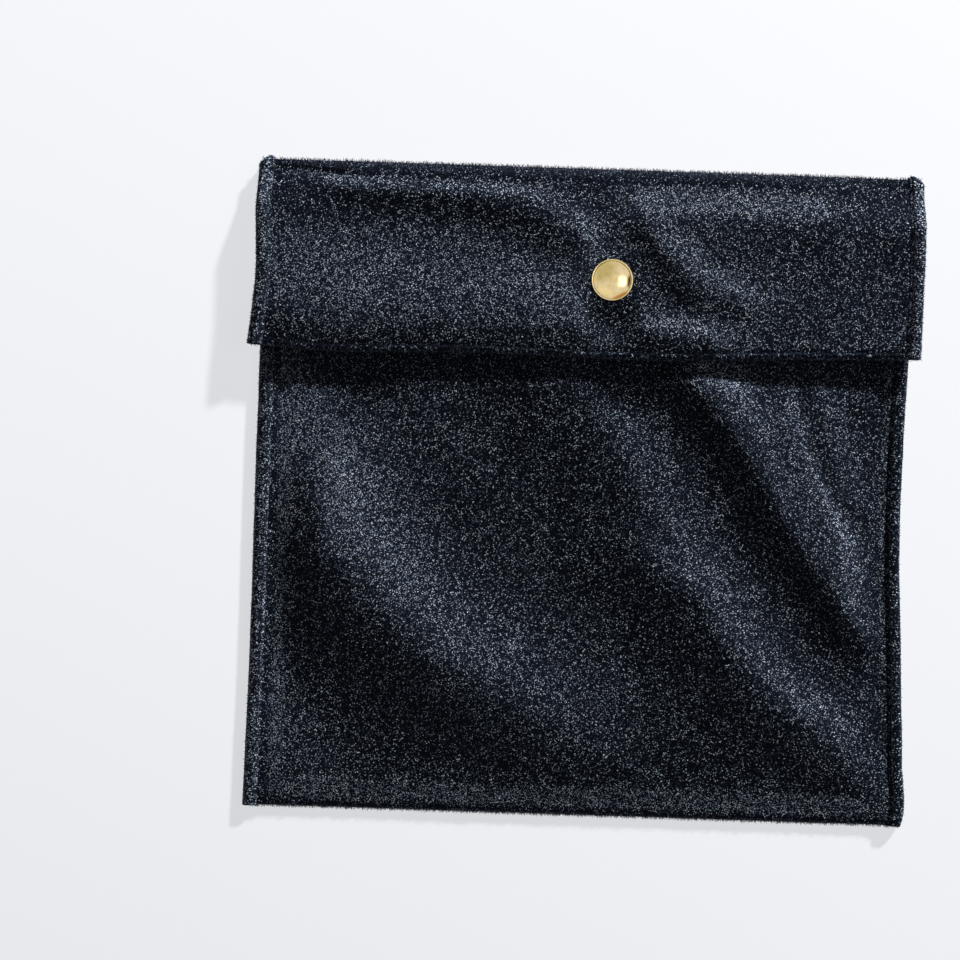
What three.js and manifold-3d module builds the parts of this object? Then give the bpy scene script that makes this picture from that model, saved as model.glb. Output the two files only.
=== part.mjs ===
// Envelope pouch of navy pile cloth: a flat pocket, a flap folded over its mouth and one press snap.
// It lies on its back. +Z is up, +X runs along the top fold, +Y points from the bottom fold to the top fold.
// Lengths are in millimetres. The origin is on the ground, under the middle of the pouch.

import * as THREE from 'three';
import Module from 'manifold-3d';
import { mergeVertices } from 'three/addons/utils/BufferGeometryUtils.js';

const wasm = await Module();
wasm.setup();

// Outline of the pouch
const bodyWidth = 240;
const bodyLength = 240;
const flapOverhang = 2;
const flapDepth = 70;
const mouthSetback = 22;

// Cloth, edge tape and sewing
const cloth = 1.6;
const tape = 0.9;
const tapeWidth = 5;
const clearance = 0.3;
const hemDepth = 5.3;
const stitchInset = 4.2;
const threadWidth = 0.6;
const threadHeight = 0.4;

// How the cloth stands up off the ground
const tapeBend = 0.2;
const liftRun = 4;
const foldDepth = 4.6;
const foldRun = 35;
const pocketPuff = 5.6;
const mouthPuff = 2.2;
const edgePart = 0.75;
const edgeRun = 8;
const puffRun = 70;
const mouthRun = 30;
const flapCrown = 0.4;
const flapRun = 18;
const flapSideDroop = 1.2;
const flapHemDroop = 0.2;
const droopRun = 50;
const shoulderRun = 3;

// The press snap
const snapX = 8;
const snapFromFold = 41.5;
const snapFlat = 8;
const snapSeat = 24;
const capRadius = 7.6;
const capHeight = 2.9;
const capWall = 0.5;
const capRim = 0.45;
const postRadius = 2.2;
const postFlare = 0.6;
const postLip = 0.4;
const socketRadius = 6.2;
const socketHeight = 2.6;
const socketPlate = 0.6;
const socketBore = 4;
const springWire = 0.6;
const springGap = 0.7;
const springDepth = 0.25;
const studFlangeRadius = 6.2;
const studFlange = 0.8;
const studHeadRadius = 3.2;
const studNeckRadius = 2.8;
const studHeight = 1.5;
const rivetRadius = 5.6;
const rivetFlange = 0.8;
const rivetPost = 1.6;
const rivetFlare = 0.35;
const turnSegments = 32;

// Soft folds in the cloth. Each has points along its crest, its height, how far it falls off to either
// side and the runs over which it starts and stops. The points of the front's folds are the distance up
// from the bottom and the place across, those of the flap's the place across and the distance down.
const frontFolds = [
  {
    crest: [[30, -10], [45, -27], [60, -44], [80, -66], [100, -83], [120, -95], [150, -105], [180, -110]],
    height: 7,
    ahead: 20,
    behind: 16,
    starts: 50,
    stops: 36,
  },
  {
    crest: [[19, 106], [32, 88], [45, 72], [63, 56], [80, 42], [96, 28]],
    height: 3.2,
    ahead: 11,
    behind: 18,
    starts: 16,
    stops: 40,
  },
  {
    crest: [[62, 114], [80, 99], [100, 83], [120, 69], [140, 57], [155, 45], [180, 28]],
    height: 4.6,
    ahead: 16,
    behind: 9,
    starts: 20,
    stops: 30,
  },
];
const flapFolds = [
  {
    crest: [[-125, 7], [-80, 8], [-40, 11], [-20, 17], [-8, 24], [2, 31]],
    height: 2.4,
    ahead: 8,
    behind: 7,
    starts: 20,
    stops: 10,
  },
  {
    crest: [[-125, 56], [-50, 58], [4, 58]],
    height: 1.8,
    ahead: 7,
    behind: 24,
    starts: 20,
    stops: 16,
  },
  {
    crest: [[18, 24], [26, 31], [38, 41], [58, 49]],
    height: 1.6,
    ahead: 6,
    behind: 7,
    starts: 10,
    stops: 16,
  },
];

// The front's folds die away at the bottom, and the flap presses most of their height flat
const settleRun = 20;
const pressedShare = 0.8;
const pressedOutside = 13;
const pressedInside = 7;

// Sizes that follow from those above
const foot = tape + clearance;
const doubled = cloth + clearance;
const flapWidth = bodyWidth + 2 * flapOverhang;
const foldY = bodyLength / 2 - foot;
const bottomY = -bodyLength / 2;
const mouthY = foldY - mouthSetback;
const frontEdgeY = foldY - flapDepth;
const snapY = foldY - snapFromFold;
const turnRadius = cloth + clearance / 2;
const sideFoldRadius = tapeBend + tape + clearance + cloth;
const snapStack = studFlange + socketHeight + 3 * clearance;
const snapFrontLevel = 1.5 * cloth + clearance + pocketPuff;
const snapFlapLevel = snapFrontLevel + cloth + snapStack;
const flapScale = flapWidth / bodyWidth;
const foldLine = foot + sideFoldRadius;
const foldTop = snapFlapLevel - cloth / 2;
const sideFoldDepth = sideFoldRadius - cloth / 2;
const sideFoldTop = foldLine + clearance / 2 + sideFoldDepth;

const quarter = Math.PI / 2;
const paramStep = 1e-4;

function smooth(from, to, value) {
  const t = Math.min(Math.max((value - from) / (to - from), 0), 1);
  return t * t * (3 - 2 * t);
}

function mix(a, b, share) {
  return a + (b - a) * share;
}

function steps(from, to, count) {
  return Array.from({ length: count + 1 }, (_, i) => mix(from, to, i / count));
}

// Grid lines from low to high about a step apart, with exact lines where something needs one.
function gridLines(low, high, step, exact = []) {
  const fixed = [low, high, ...exact.filter((line) => line > low && line < high)];
  const even = steps(low, high, Math.max(1, Math.round((high - low) / step)));
  const free = even.filter((line) => fixed.every((other) => Math.abs(other - line) > step / 3));
  return [...new Set([...fixed, ...free])].sort((a, b) => a - b);
}

// The pieces' shapes as three.js geometry

function signedVolume(positions, indices) {
  const a = new THREE.Vector3();
  const b = new THREE.Vector3();
  const c = new THREE.Vector3();
  let volume = 0;
  for (let i = 0; i < indices.length; i += 3) {
    a.fromArray(positions, 3 * indices[i]);
    b.fromArray(positions, 3 * indices[i + 1]);
    c.fromArray(positions, 3 * indices[i + 2]);
    volume += a.dot(b.cross(c));
  }
  return volume / 6;
}

function geometryOf(positions, indices) {
  if (signedVolume(positions, indices) < 0) {
    for (let i = 0; i < indices.length; i += 3) {
      [indices[i], indices[i + 1]] = [indices[i + 1], indices[i]];
    }
  }
  const geometry = new THREE.BufferGeometry();
  geometry.setAttribute('position', new THREE.Float32BufferAttribute(positions, 3));
  geometry.setIndex(indices);
  return geometry;
}

// A sheet of the given thickness about the surface point(u, v), closed along its four edges.
function sheet(point, us, vs, thickness) {
  const rows = vs.length;
  const columns = us.length;
  const place = (u, v) => new THREE.Vector3(...point(u, v));
  const normalAt = (u, v) => {
    const along = place(u + paramStep, v).sub(place(u - paramStep, v));
    const across = place(u, v + paramStep).sub(place(u, v - paramStep));
    return along.cross(across).normalize();
  };
  const positions = [];
  for (const side of [1, -1]) {
    for (let i = 0; i < columns; i += 1) {
      for (let j = 0; j < rows; j += 1) {
        const normal = normalAt(us[i], vs[j]);
        const corner = place(us[i], vs[j]).addScaledVector(normal, (side * thickness) / 2);
        positions.push(corner.x, corner.y, corner.z);
      }
    }
  }
  const count = columns * rows;
  const top = (i, j) => i * rows + j;
  const under = (i, j) => count + top(i, j);
  const indices = [];
  const quad = (a, b, c, d) => indices.push(a, b, c, a, c, d);
  for (let i = 0; i + 1 < columns; i += 1) {
    for (let j = 0; j + 1 < rows; j += 1) {
      quad(top(i, j), top(i + 1, j), top(i + 1, j + 1), top(i, j + 1));
      quad(under(i, j), under(i, j + 1), under(i + 1, j + 1), under(i + 1, j));
    }
    quad(top(i, 0), under(i, 0), under(i + 1, 0), top(i + 1, 0));
    quad(top(i + 1, rows - 1), under(i + 1, rows - 1), under(i, rows - 1), top(i, rows - 1));
  }
  for (let j = 0; j + 1 < rows; j += 1) {
    quad(top(0, j + 1), under(0, j + 1), under(0, j), top(0, j));
    quad(top(columns - 1, j), under(columns - 1, j), under(columns - 1, j + 1), top(columns - 1, j + 1));
  }
  return geometryOf(positions, indices);
}

// A body turned about the Z axis from [radius, height] points.
function turned(profile) {
  const points = profile.map(([radius, height]) => new THREE.Vector2(radius, height));
  const geometry = new THREE.LatheGeometry(points, turnSegments);
  geometry.rotateX(quarter);
  geometry.deleteAttribute('normal');
  geometry.deleteAttribute('uv');
  const merged = mergeVertices(geometry);
  return geometryOf([...merged.attributes.position.array], [...merged.index.array]);
}

function toSolid(geometry) {
  const mesh = new wasm.Mesh({
    numProp: 3,
    vertProperties: new Float32Array(geometry.attributes.position.array),
    triVerts: new Uint32Array(geometry.index.array),
  });
  return new wasm.Manifold(mesh);
}

// The hole that a snap post goes through, cut out of a panel.
function pierced(geometry, radius) {
  const reach = 2 * (snapFlapLevel + capHeight);
  const drill = new THREE.CylinderGeometry(radius, radius, reach, turnSegments);
  drill.rotateX(quarter);
  drill.translate(snapX, snapY, 0);
  drill.deleteAttribute('normal');
  drill.deleteAttribute('uv');
  const cut = toSolid(geometry).subtract(toSolid(mergeVertices(drill))).getMesh();
  return geometryOf([...cut.vertProperties], [...cut.triVerts]);
}

// The cloth's shape: surfaces are given at the middle of the cloth's thickness

// Share of the way onto the taped edge, from 0 inside to 1 under the tape. x is measured on the body.
function edgeShare(x) {
  const inset = bodyWidth / 2 - Math.abs(x);
  return 1 - smooth(tapeWidth, tapeWidth + liftRun, inset);
}

function lift(x) {
  return foot * edgeShare(x);
}

// Share of the way from the full top fold to the low one under the tape.
function sideShare(x) {
  const inset = bodyWidth / 2 - Math.abs(x);
  return 1 - smooth(tapeWidth, tapeWidth + foldRun, inset);
}

// How far the top fold stands out past the line where the flat cloth starts to bend, and how high it goes.
function foldDepthAt(x) {
  return mix(foldDepth, sideFoldDepth, sideShare(x));
}

function foldTopAt(x) {
  return mix(foldTop, sideFoldTop, sideShare(x));
}

function foldStart(x) {
  return foldY - cloth / 2 - foldDepthAt(x);
}

// The slope at point i of a smooth line through [t, value] points.
function slopeAt(points, i) {
  const [from, a] = points[Math.max(i - 1, 0)];
  const [to, b] = points[Math.min(i + 1, points.length - 1)];
  return (b - a) / (to - from);
}

// The value at t on that line, which goes on straight beyond its ends.
function through(points, t) {
  const last = points.length - 1;
  const end = t < points[0][0] ? 0 : last;
  if (t < points[0][0] || t >= points[last][0]) {
    return points[end][1] + slopeAt(points, end) * (t - points[end][0]);
  }
  const i = points.findIndex(([at]) => at > t) - 1;
  const [[from, a], [to, b]] = [points[i], points[i + 1]];
  const width = to - from;
  const s = (t - from) / width;
  const left = a * (1 + 2 * s) + slopeAt(points, i) * width * s;
  const right = b * (3 - 2 * s) - slopeAt(points, i + 1) * width * (1 - s);
  return left * (1 - s) ** 2 + right * s ** 2;
}

// Height of one soft fold at a place given by its run along the fold's list and the place across it.
function foldAt({ crest, height, ahead, behind, starts, stops }, run, across) {
  const step = 0.5;
  const slope = (through(crest, run + step) - through(crest, run - step)) / (2 * step);
  const offset = (across - through(crest, run)) / Math.hypot(1, slope);
  const width = offset > 0 ? ahead : behind;
  const [low, high] = [crest[0][0], crest[crest.length - 1][0]];
  const begins = smooth(low - starts / 2, low + starts / 2, run);
  const ends = 1 - smooth(high - stops / 2, high + stops / 2, run);
  return height * begins * ends * Math.exp(-((offset / width) ** 2));
}

function foldsAt(folds, run, across) {
  return folds.reduce((height, fold) => height + foldAt(fold, run, across), 0);
}

function nearSnap(x, y) {
  const reach = Math.hypot(x - snapX, y - snapY);
  return 1 - smooth(snapFlat * Math.SQRT2, snapSeat, reach);
}

// Share of the full height at distances in from the side tape and up from the bottom fold: a quick rise
// at the edge, then a slow one.
function puffed(side, bottom) {
  const rise = (run) => smooth(0, run, side) * smooth(0, run, bottom);
  return mix(rise(puffRun), rise(edgeRun), edgePart);
}

function frontLevel(x, y) {
  const side = bodyWidth / 2 - Math.abs(x) - tapeWidth;
  const bottom = y - bottomY - turnRadius;
  const puff = (pocketPuff + mouthPuff * smooth(mouthY - mouthRun, mouthY, y)) * puffed(side, bottom);
  const pressed = 1 - pressedShare * smooth(frontEdgeY - pressedOutside, frontEdgeY + pressedInside, y);
  const settled = smooth(0, edgeRun, side) * smooth(0, settleRun, bottom) * pressed;
  const level = lift(x) + 1.5 * cloth + clearance + puff + settled * foldsAt(frontFolds, y - bottomY, x);
  return mix(level, snapFrontLevel, nearSnap(x, y));
}

function flapLevel(x, y) {
  const rise = smooth(0, flapRun, foldStart(x) - y);
  const sideDroop = flapSideDroop * smooth(bodyWidth / 2 - droopRun, bodyWidth / 2, Math.abs(x));
  const hemDroop = flapHemDroop * smooth(snapY - snapFlat, frontEdgeY, y);
  const folds = foldsAt(flapFolds, x, foldY - y);
  const level = snapFlapLevel + flapCrown - sideDroop - hemDroop + folds;
  return mix(foldTopAt(x), mix(level, snapFlapLevel, nearSnap(x, y)), rise);
}

// How much wider than the body the cloth is at a height up the pouch.
function widthScale(y) {
  return mix(1, flapScale, smooth(mouthY, foldY - sideFoldRadius, y));
}

// Grid lines that the cloth pieces share
const panelHalf = bodyWidth / 2 - foot;
const innerHalf = bodyWidth / 2 - tapeWidth;
const sideLines = [innerHalf, innerHalf - liftRun / 2, innerHalf - liftRun, innerHalf - edgeRun];
const snapLines = [snapX - snapFlat, snapX, snapX + snapFlat];
const clothStep = 10;
const clothColumns = gridLines(-panelHalf, panelHalf, clothStep, [
  ...sideLines,
  ...sideLines.map((line) => -line),
  ...snapLines,
]);
const foldLines = [...sideLines.slice(0, 3), ...steps(innerHalf - foldRun, innerHalf, 4).slice(0, -1)];
const foldColumns = gridLines(-panelHalf, panelHalf, bodyWidth, [
  ...foldLines,
  ...foldLines.map((line) => -line),
]);
const mouthHalf = innerHalf - 2 * edgeRun;
const bendSteps = 4;
const flapSteps = 20;

// Cloth panels

// Rows run from 0 to 1 along the flat cloth and from 1 to 2 round the bend.
function backPanel() {
  const startY = bottomY + turnRadius + clearance;
  const point = (x, row) => {
    const turn = Math.max(row - 1, 0) * quarter;
    const flatY = mix(startY, foldStart(x), Math.min(row, 1));
    const y = flatY + foldDepthAt(x) * Math.sin(turn);
    const flatZ = lift(x) + cloth / 2;
    const z = flatZ + (foldLine - clearance / 2 - flatZ) * (1 - Math.cos(turn));
    return [x * widthScale(flatY), y, z];
  };
  const mouthRow = (mouthY - startY) / (foldStart(0) - startY);
  const rows = [0, ...steps(mouthRow, 1, 3), ...steps(1, 2, bendSteps).slice(1)];
  return sheet(point, foldColumns, rows, cloth);
}

// Rows run from 0 to 1 down the front from the mouth and from 1 to 2 round the bottom fold.
function frontPanel() {
  const centreY = bottomY + turnRadius;
  const radius = turnRadius - cloth / 2;
  const point = (x, row) => {
    if (row <= 1) {
      const y = mix(mouthY, centreY, row);
      return [x, y, frontLevel(x, y)];
    }
    const turn = (row - 1) * 2 * quarter;
    return [x, centreY - radius * Math.sin(turn), lift(x) + turnRadius + radius * Math.cos(turn)];
  };
  const lines = gridLines(centreY, mouthY, clothStep, [
    snapY - snapFlat,
    snapY,
    snapY + snapFlat,
    mouthY - hemDepth,
    centreY + edgeRun / 2,
    centreY + edgeRun,
  ]);
  const rows = [...lines.map((y) => (mouthY - y) / (mouthY - centreY)).reverse()];
  rows.push(...steps(1, 2, 2 * bendSteps - 2).slice(1));
  return pierced(sheet(point, clothColumns, rows, cloth), rivetPost + clearance);
}

// The mouth's edge, turned under between the pocket's rising sides.
function openingHem() {
  const point = (x, y) => [x, y, frontLevel(x, y) - doubled];
  const columns = clothColumns.filter((x) => Math.abs(x) <= mouthHalf);
  return sheet(point, columns, [mouthY, mouthY - hemDepth], cloth);
}

// Rows run from 0 to 1 round the top fold, from 1 to 2 down the flap and from 2 to 3 round its front edge.
function flapPanel() {
  const hemCentreY = frontEdgeY + turnRadius;
  const hemRadius = turnRadius - cloth / 2;
  const point = (x, row) => {
    if (row < 1) {
      const turn = row * quarter;
      const base = foldLine + clearance / 2;
      const y = foldStart(x) + foldDepthAt(x) * Math.cos(turn);
      return [x * flapScale, y, base + (foldTopAt(x) - base) * Math.sin(turn)];
    }
    if (row <= 2) {
      const y = mix(foldStart(x), hemCentreY, row - 1);
      return [x * flapScale, y, flapLevel(x, y)];
    }
    const turn = (row - 2) * 2 * quarter;
    const centreZ = flapLevel(x, hemCentreY) - hemRadius;
    return [x * flapScale, hemCentreY - hemRadius * Math.sin(turn), centreZ + hemRadius * Math.cos(turn)];
  };
  const topY = foldStart(0);
  const lines = gridLines(hemCentreY, topY, clothStep / 2, [
    snapY - snapFlat,
    snapY,
    snapY + snapFlat,
    frontEdgeY + hemDepth,
  ]);
  const rows = steps(0, 1, bendSteps);
  rows.push(...lines.map((y) => 1 + (topY - y) / (topY - hemCentreY)).reverse().slice(1));
  rows.push(...steps(2, 3, 2 * bendSteps - 2).slice(1));
  return pierced(sheet(point, clothColumns, rows, cloth), postRadius + clearance);
}

// The flap's front edge, turned under.
function flapHem() {
  const hemCentreY = frontEdgeY + turnRadius;
  const point = (x, y) => [x * flapScale, y, flapLevel(x, y) - doubled];
  return sheet(point, clothColumns, [frontEdgeY + hemDepth, hemCentreY + clearance], cloth);
}

// Tape round the side edges

// The tape's section from the inner edge of its upper arm, round the outside, to that of its lower arm.
// upper and lower are the heights of what it wraps, above and below the guide line.
function tapeSection(upper, lower) {
  const high = upper + clearance + tape / 2;
  const low = -(lower + clearance + tape / 2);
  const outer = tape / 2;
  const corner = 2 * clearance;
  return [
    [tapeWidth, high],
    [outer + corner, high],
    [outer, high - corner],
    [outer, low + corner],
    [outer + corner, low],
    [tapeWidth, low],
  ];
}

// The place at a share t of the way along a line of points, where point i lies at t = i.
function alongLine(points, t) {
  const index = Math.min(Math.max(Math.floor(t), 0), points.length - 2);
  const [from, to] = [points[index], points[index + 1]];
  return from.map((value, axis) => mix(value, to[axis], t - index));
}

// guide(u) gives the guide line's y and z, the angle of its normal, its half width and what the tape wraps.
function tapeAlong(guide, us, side) {
  const sectionSteps = [0, 1, 2, 3, 4, 5];
  const point = (u, index) => {
    const { y, z, tilt, half, upper, lower } = guide(u);
    const [inset, height] = alongLine(tapeSection(upper, lower), index);
    return [side * (half - inset), y - height * Math.sin(tilt), z + height * Math.cos(tilt)];
  };
  return sheet(point, us, sectionSteps, tape);
}

// Steps run from 0 to 1 up the pocket's side, from 1 to 2 past the mouth and from 2 to 3 round the fold.
function bodyTape(side) {
  const centreY = foldY - sideFoldRadius;
  const guide = (u) => {
    const turn = Math.max(u - 2, 0) * quarter;
    const shoulderY = mouthY + clearance;
    const flatY = u < 1 ? mix(bottomY, shoulderY, u) : mix(shoulderY, centreY, Math.min(u - 1, 1));
    const flatZ = foot + cloth / 2;
    return {
      y: flatY + sideFoldDepth * Math.sin(turn),
      z: flatZ + (foldLine - clearance / 2 - flatZ) * (1 - Math.cos(turn)),
      tilt: turn,
      half: (bodyWidth / 2) * widthScale(flatY),
      upper: cloth / 2 + doubled * (1 - smooth(shoulderY, shoulderY + shoulderRun, flatY)),
      lower: cloth / 2,
    };
  };
  const shoulderEnd = 1 + shoulderRun / (centreY - mouthY - clearance);
  const us = [...steps(0, 1, 2), ...steps(1, shoulderEnd, 2).slice(1), ...steps(shoulderEnd, 2, 3).slice(1)];
  us.push(...steps(2, 3, bendSteps).slice(1));
  return tapeAlong(guide, us, side);
}

// Steps run from 0 to 1 round the fold and from 1 to 2 down to the flap's front edge.
function flapTape(side) {
  const edgeX = side * panelHalf;
  const centreY = foldY - sideFoldRadius;
  const base = foldLine + clearance / 2;
  const slopeReach = 0.5;
  const guide = (u) => {
    const turn = Math.min(u, 1) * quarter;
    const y = u < 1 ? centreY + sideFoldDepth * Math.cos(turn) : mix(centreY, frontEdgeY, u - 1);
    const hemStart = frontEdgeY + hemDepth + clearance;
    const slope = (flapLevel(edgeX, y + slopeReach) - flapLevel(edgeX, y - slopeReach)) / (2 * slopeReach);
    return {
      y,
      z: u < 1 ? base + sideFoldDepth * Math.sin(turn) : flapLevel(edgeX, y),
      tilt: u < 1 ? turn - quarter : Math.atan(slope),
      half: flapWidth / 2,
      upper: cloth / 2,
      lower: cloth / 2 + doubled * (1 - smooth(hemStart, hemStart + shoulderRun, y)),
    };
  };
  const us = [...steps(0, 1, bendSteps), ...steps(1, 2, flapSteps).slice(1)];
  return tapeAlong(guide, us, side);
}

// Rows of stitching, each as one low bead where the sewing thread shows

function bead(line, us) {
  const point = (u, across) => line(u, across * threadWidth);
  return sheet(point, us, [-0.5, 0.5], threadHeight);
}

const beadLift = clearance + threadHeight / 2;

function bodyStitching(side) {
  const height = foot + cloth + doubled + foot + beadLift;
  const line = (y, across) => [side * (bodyWidth / 2 - stitchInset) + across, y, height];
  return bead(line, [bottomY + stitchInset, mouthY - stitchInset]);
}

function flapStitching(side) {
  const edgeX = side * panelHalf;
  const start = foldY - flapRun;
  const end = frontEdgeY + stitchInset;
  const rise = cloth / 2 + foot + beadLift;
  const line = (y, across) => [side * (flapWidth / 2 - stitchInset) + across, y, flapLevel(edgeX, y) + rise];
  return bead(line, gridLines(end, start, 4));
}

function hemStitching() {
  const y = frontEdgeY + hemDepth - stitchInset / 4;
  const columns = clothColumns.filter((x) => Math.abs(x) < innerHalf);
  const rise = cloth / 2 + beadLift;
  const line = (x, across) => [x * flapScale, y + across, flapLevel(x, y + across) + rise];
  return bead(line, columns);
}

function openingStitching() {
  const y = mouthY - hemDepth + stitchInset / 4;
  const columns = clothColumns.filter((x) => Math.abs(x) <= mouthHalf);
  const rise = cloth / 2 + beadLift;
  const line = (x, across) => [x, y + across, frontLevel(x, y + across) + rise];
  return bead(line, columns);
}

// The press snap: cap, socket and spring on the flap, stud and rivet on the front panel

const flapUnderside = snapFlapLevel - cloth / 2;
const socketTop = flapUnderside - clearance;
const socketPlateUnder = socketTop - socketPlate;
const postEnd = socketPlateUnder - clearance - postLip;

function atSnap(geometry) {
  return geometry.translate(snapX, snapY, 0);
}

function snapCap() {
  const base = snapFlapLevel + cloth / 2 + clearance;
  const shoulder = base + 2 * capRim;
  const domeRise = capHeight - 2 * capRim;
  const crown = (radius, rise, from, to, count) =>
    steps(from, to, count).map((turn) => [radius * Math.sin(turn), shoulder + rise * Math.cos(turn)]);
  const rim = steps(quarter, -quarter, 4).map((turn) => [
    capRadius - capRim + capRim * Math.cos(turn),
    base + capRim + capRim * Math.sin(turn),
  ]);
  const insideRadius = capRadius - 2 * capRim;
  const insideRise = domeRise - capWall;
  const postTurn = Math.asin(postRadius / insideRadius);
  return atSnap(turned([
    ...crown(capRadius - capRim, domeRise, 0, quarter, 8).slice(0, -1),
    ...rim,
    [insideRadius, base],
    ...crown(insideRadius, insideRise, quarter, postTurn, 5),
    [postRadius, postEnd + 2 * postLip],
    [postRadius, socketPlateUnder - clearance],
    [postRadius + postFlare, postEnd + postLip / 2],
    [postRadius, postEnd],
    [0, postEnd],
  ]));
}

function snapSocket() {
  const bottom = socketTop - socketHeight;
  const hole = postRadius + clearance;
  const groove = socketBore + springDepth + clearance;
  const springTop = bottom + 2 * clearance + springWire + clearance;
  return atSnap(turned([
    [hole, socketTop],
    [socketRadius - capRim, socketTop],
    [socketRadius, socketTop - capRim],
    [socketRadius, bottom + socketHeight / 2],
    [socketRadius - 2 * capRim, bottom],
    [socketBore, bottom],
    [socketBore, springTop - springWire - 2 * clearance],
    [groove + clearance, springTop - springWire - 2 * clearance],
    [groove + clearance, springTop],
    [socketBore, springTop],
    [socketBore, socketPlateUnder],
    [hole, socketPlateUnder],
    [hole, socketTop],
  ]));
}

// A ring of wire with a gap in it, which lies in the socket's groove.
function socketSpring() {
  const ringRadius = socketBore + springDepth;
  const height = socketTop - socketHeight + 2 * clearance + springWire / 2;
  const points = steps(springGap / 2, 4 * quarter - springGap / 2, 12).map(
    (turn) => new THREE.Vector3(ringRadius * Math.cos(turn), ringRadius * Math.sin(turn), height),
  );
  const section = new THREE.Shape().absarc(0, 0, springWire / 2, 0, 4 * quarter);
  const wire = new THREE.ExtrudeGeometry(section, {
    steps: 24,
    curveSegments: 3,
    bevelEnabled: false,
    extrudePath: new THREE.CatmullRomCurve3(points),
  });
  wire.deleteAttribute('normal');
  wire.deleteAttribute('uv');
  const merged = mergeVertices(wire);
  return atSnap(geometryOf([...merged.attributes.position.array], [...merged.index.array]));
}

function snapStud() {
  const base = snapFrontLevel + cloth / 2 + clearance;
  const flangeTop = base + studFlange;
  const top = flangeTop + studHeight;
  const hole = rivetPost + clearance;
  return atSnap(turned([
    [hole, base],
    [studFlangeRadius, base],
    [studFlangeRadius, base + studFlange / 2],
    [studFlangeRadius - studFlange / 2, flangeTop],
    [studNeckRadius, flangeTop],
    [studNeckRadius, flangeTop + studHeight / 3],
    [studHeadRadius, flangeTop + studHeight / 2],
    [studHeadRadius, top - studHeight / 4],
    [studHeadRadius - studHeight / 4, top],
    [hole + rivetFlare, top],
    [hole + rivetFlare, flangeTop + clearance],
    [hole, flangeTop],
    [hole, base],
  ]));
}

function studRivet() {
  const flangeTop = snapFrontLevel - cloth / 2 - clearance;
  const under = flangeTop - rivetFlange;
  const top = snapFrontLevel + cloth / 2 + clearance + studFlange + studHeight - clearance;
  const flareStart = top - studHeight / 2;
  return atSnap(turned([
    [0, under],
    [rivetRadius - rivetFlange / 2, under],
    [rivetRadius, under + rivetFlange / 2],
    [rivetRadius, flangeTop],
    [rivetPost, flangeTop],
    [rivetPost, flareStart],
    [rivetPost + rivetFlare, flareStart + rivetFlare],
    [rivetPost, top],
    [0, top],
  ]));
}

// Materials

const pileCloth = () => new THREE.MeshStandardMaterial({ color: 0x161d2c, roughness: 0.95, metalness: 0 });
const pileTape = () => new THREE.MeshStandardMaterial({ color: 0x121826, roughness: 0.95, metalness: 0 });
const sewingThread = () => new THREE.MeshStandardMaterial({ color: 0x0c101a, roughness: 0.7, metalness: 0 });
const brass = () => new THREE.MeshStandardMaterial({ color: 0xc8a55a, roughness: 0.28, metalness: 1 });
const springSteel = () => new THREE.MeshStandardMaterial({ color: 0xb4b5b6, roughness: 0.35, metalness: 1 });

// The pouch

const left = -1;
const right = 1;

function piece(name, geometry, material) {
  const mesh = new THREE.Mesh(geometry, material);
  mesh.name = name;
  return mesh;
}

const pocket = new THREE.Group();
pocket.add(
  piece('back_panel', backPanel(), pileCloth()),
  piece('front_panel', frontPanel(), pileCloth()),
  piece('opening_hem', openingHem(), pileCloth()),
  piece('side_binding_left', bodyTape(left), pileTape()),
  piece('side_binding_right', bodyTape(right), pileTape()),
  piece('side_stitching_left', bodyStitching(left), sewingThread()),
  piece('side_stitching_right', bodyStitching(right), sewingThread()),
  piece('opening_stitching', openingStitching(), sewingThread()),
  piece('snap_stud', snapStud(), brass()),
  piece('stud_rivet', studRivet(), brass()),
);

const flap = new THREE.Group();
flap.add(
  piece('flap_panel', flapPanel(), pileCloth()),
  piece('flap_hem', flapHem(), pileCloth()),
  piece('flap_binding_left', flapTape(left), pileTape()),
  piece('flap_binding_right', flapTape(right), pileTape()),
  piece('flap_stitching_left', flapStitching(left), sewingThread()),
  piece('flap_stitching_right', flapStitching(right), sewingThread()),
  piece('flap_hem_stitching', hemStitching(), sewingThread()),
  piece('snap_cap', snapCap(), brass()),
  piece('snap_socket', snapSocket(), brass()),
  piece('socket_spring', socketSpring(), springSteel()),
);

const pouch = new THREE.Group();
pouch.add(pocket, flap);

export default pouch;
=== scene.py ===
import math

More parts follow.
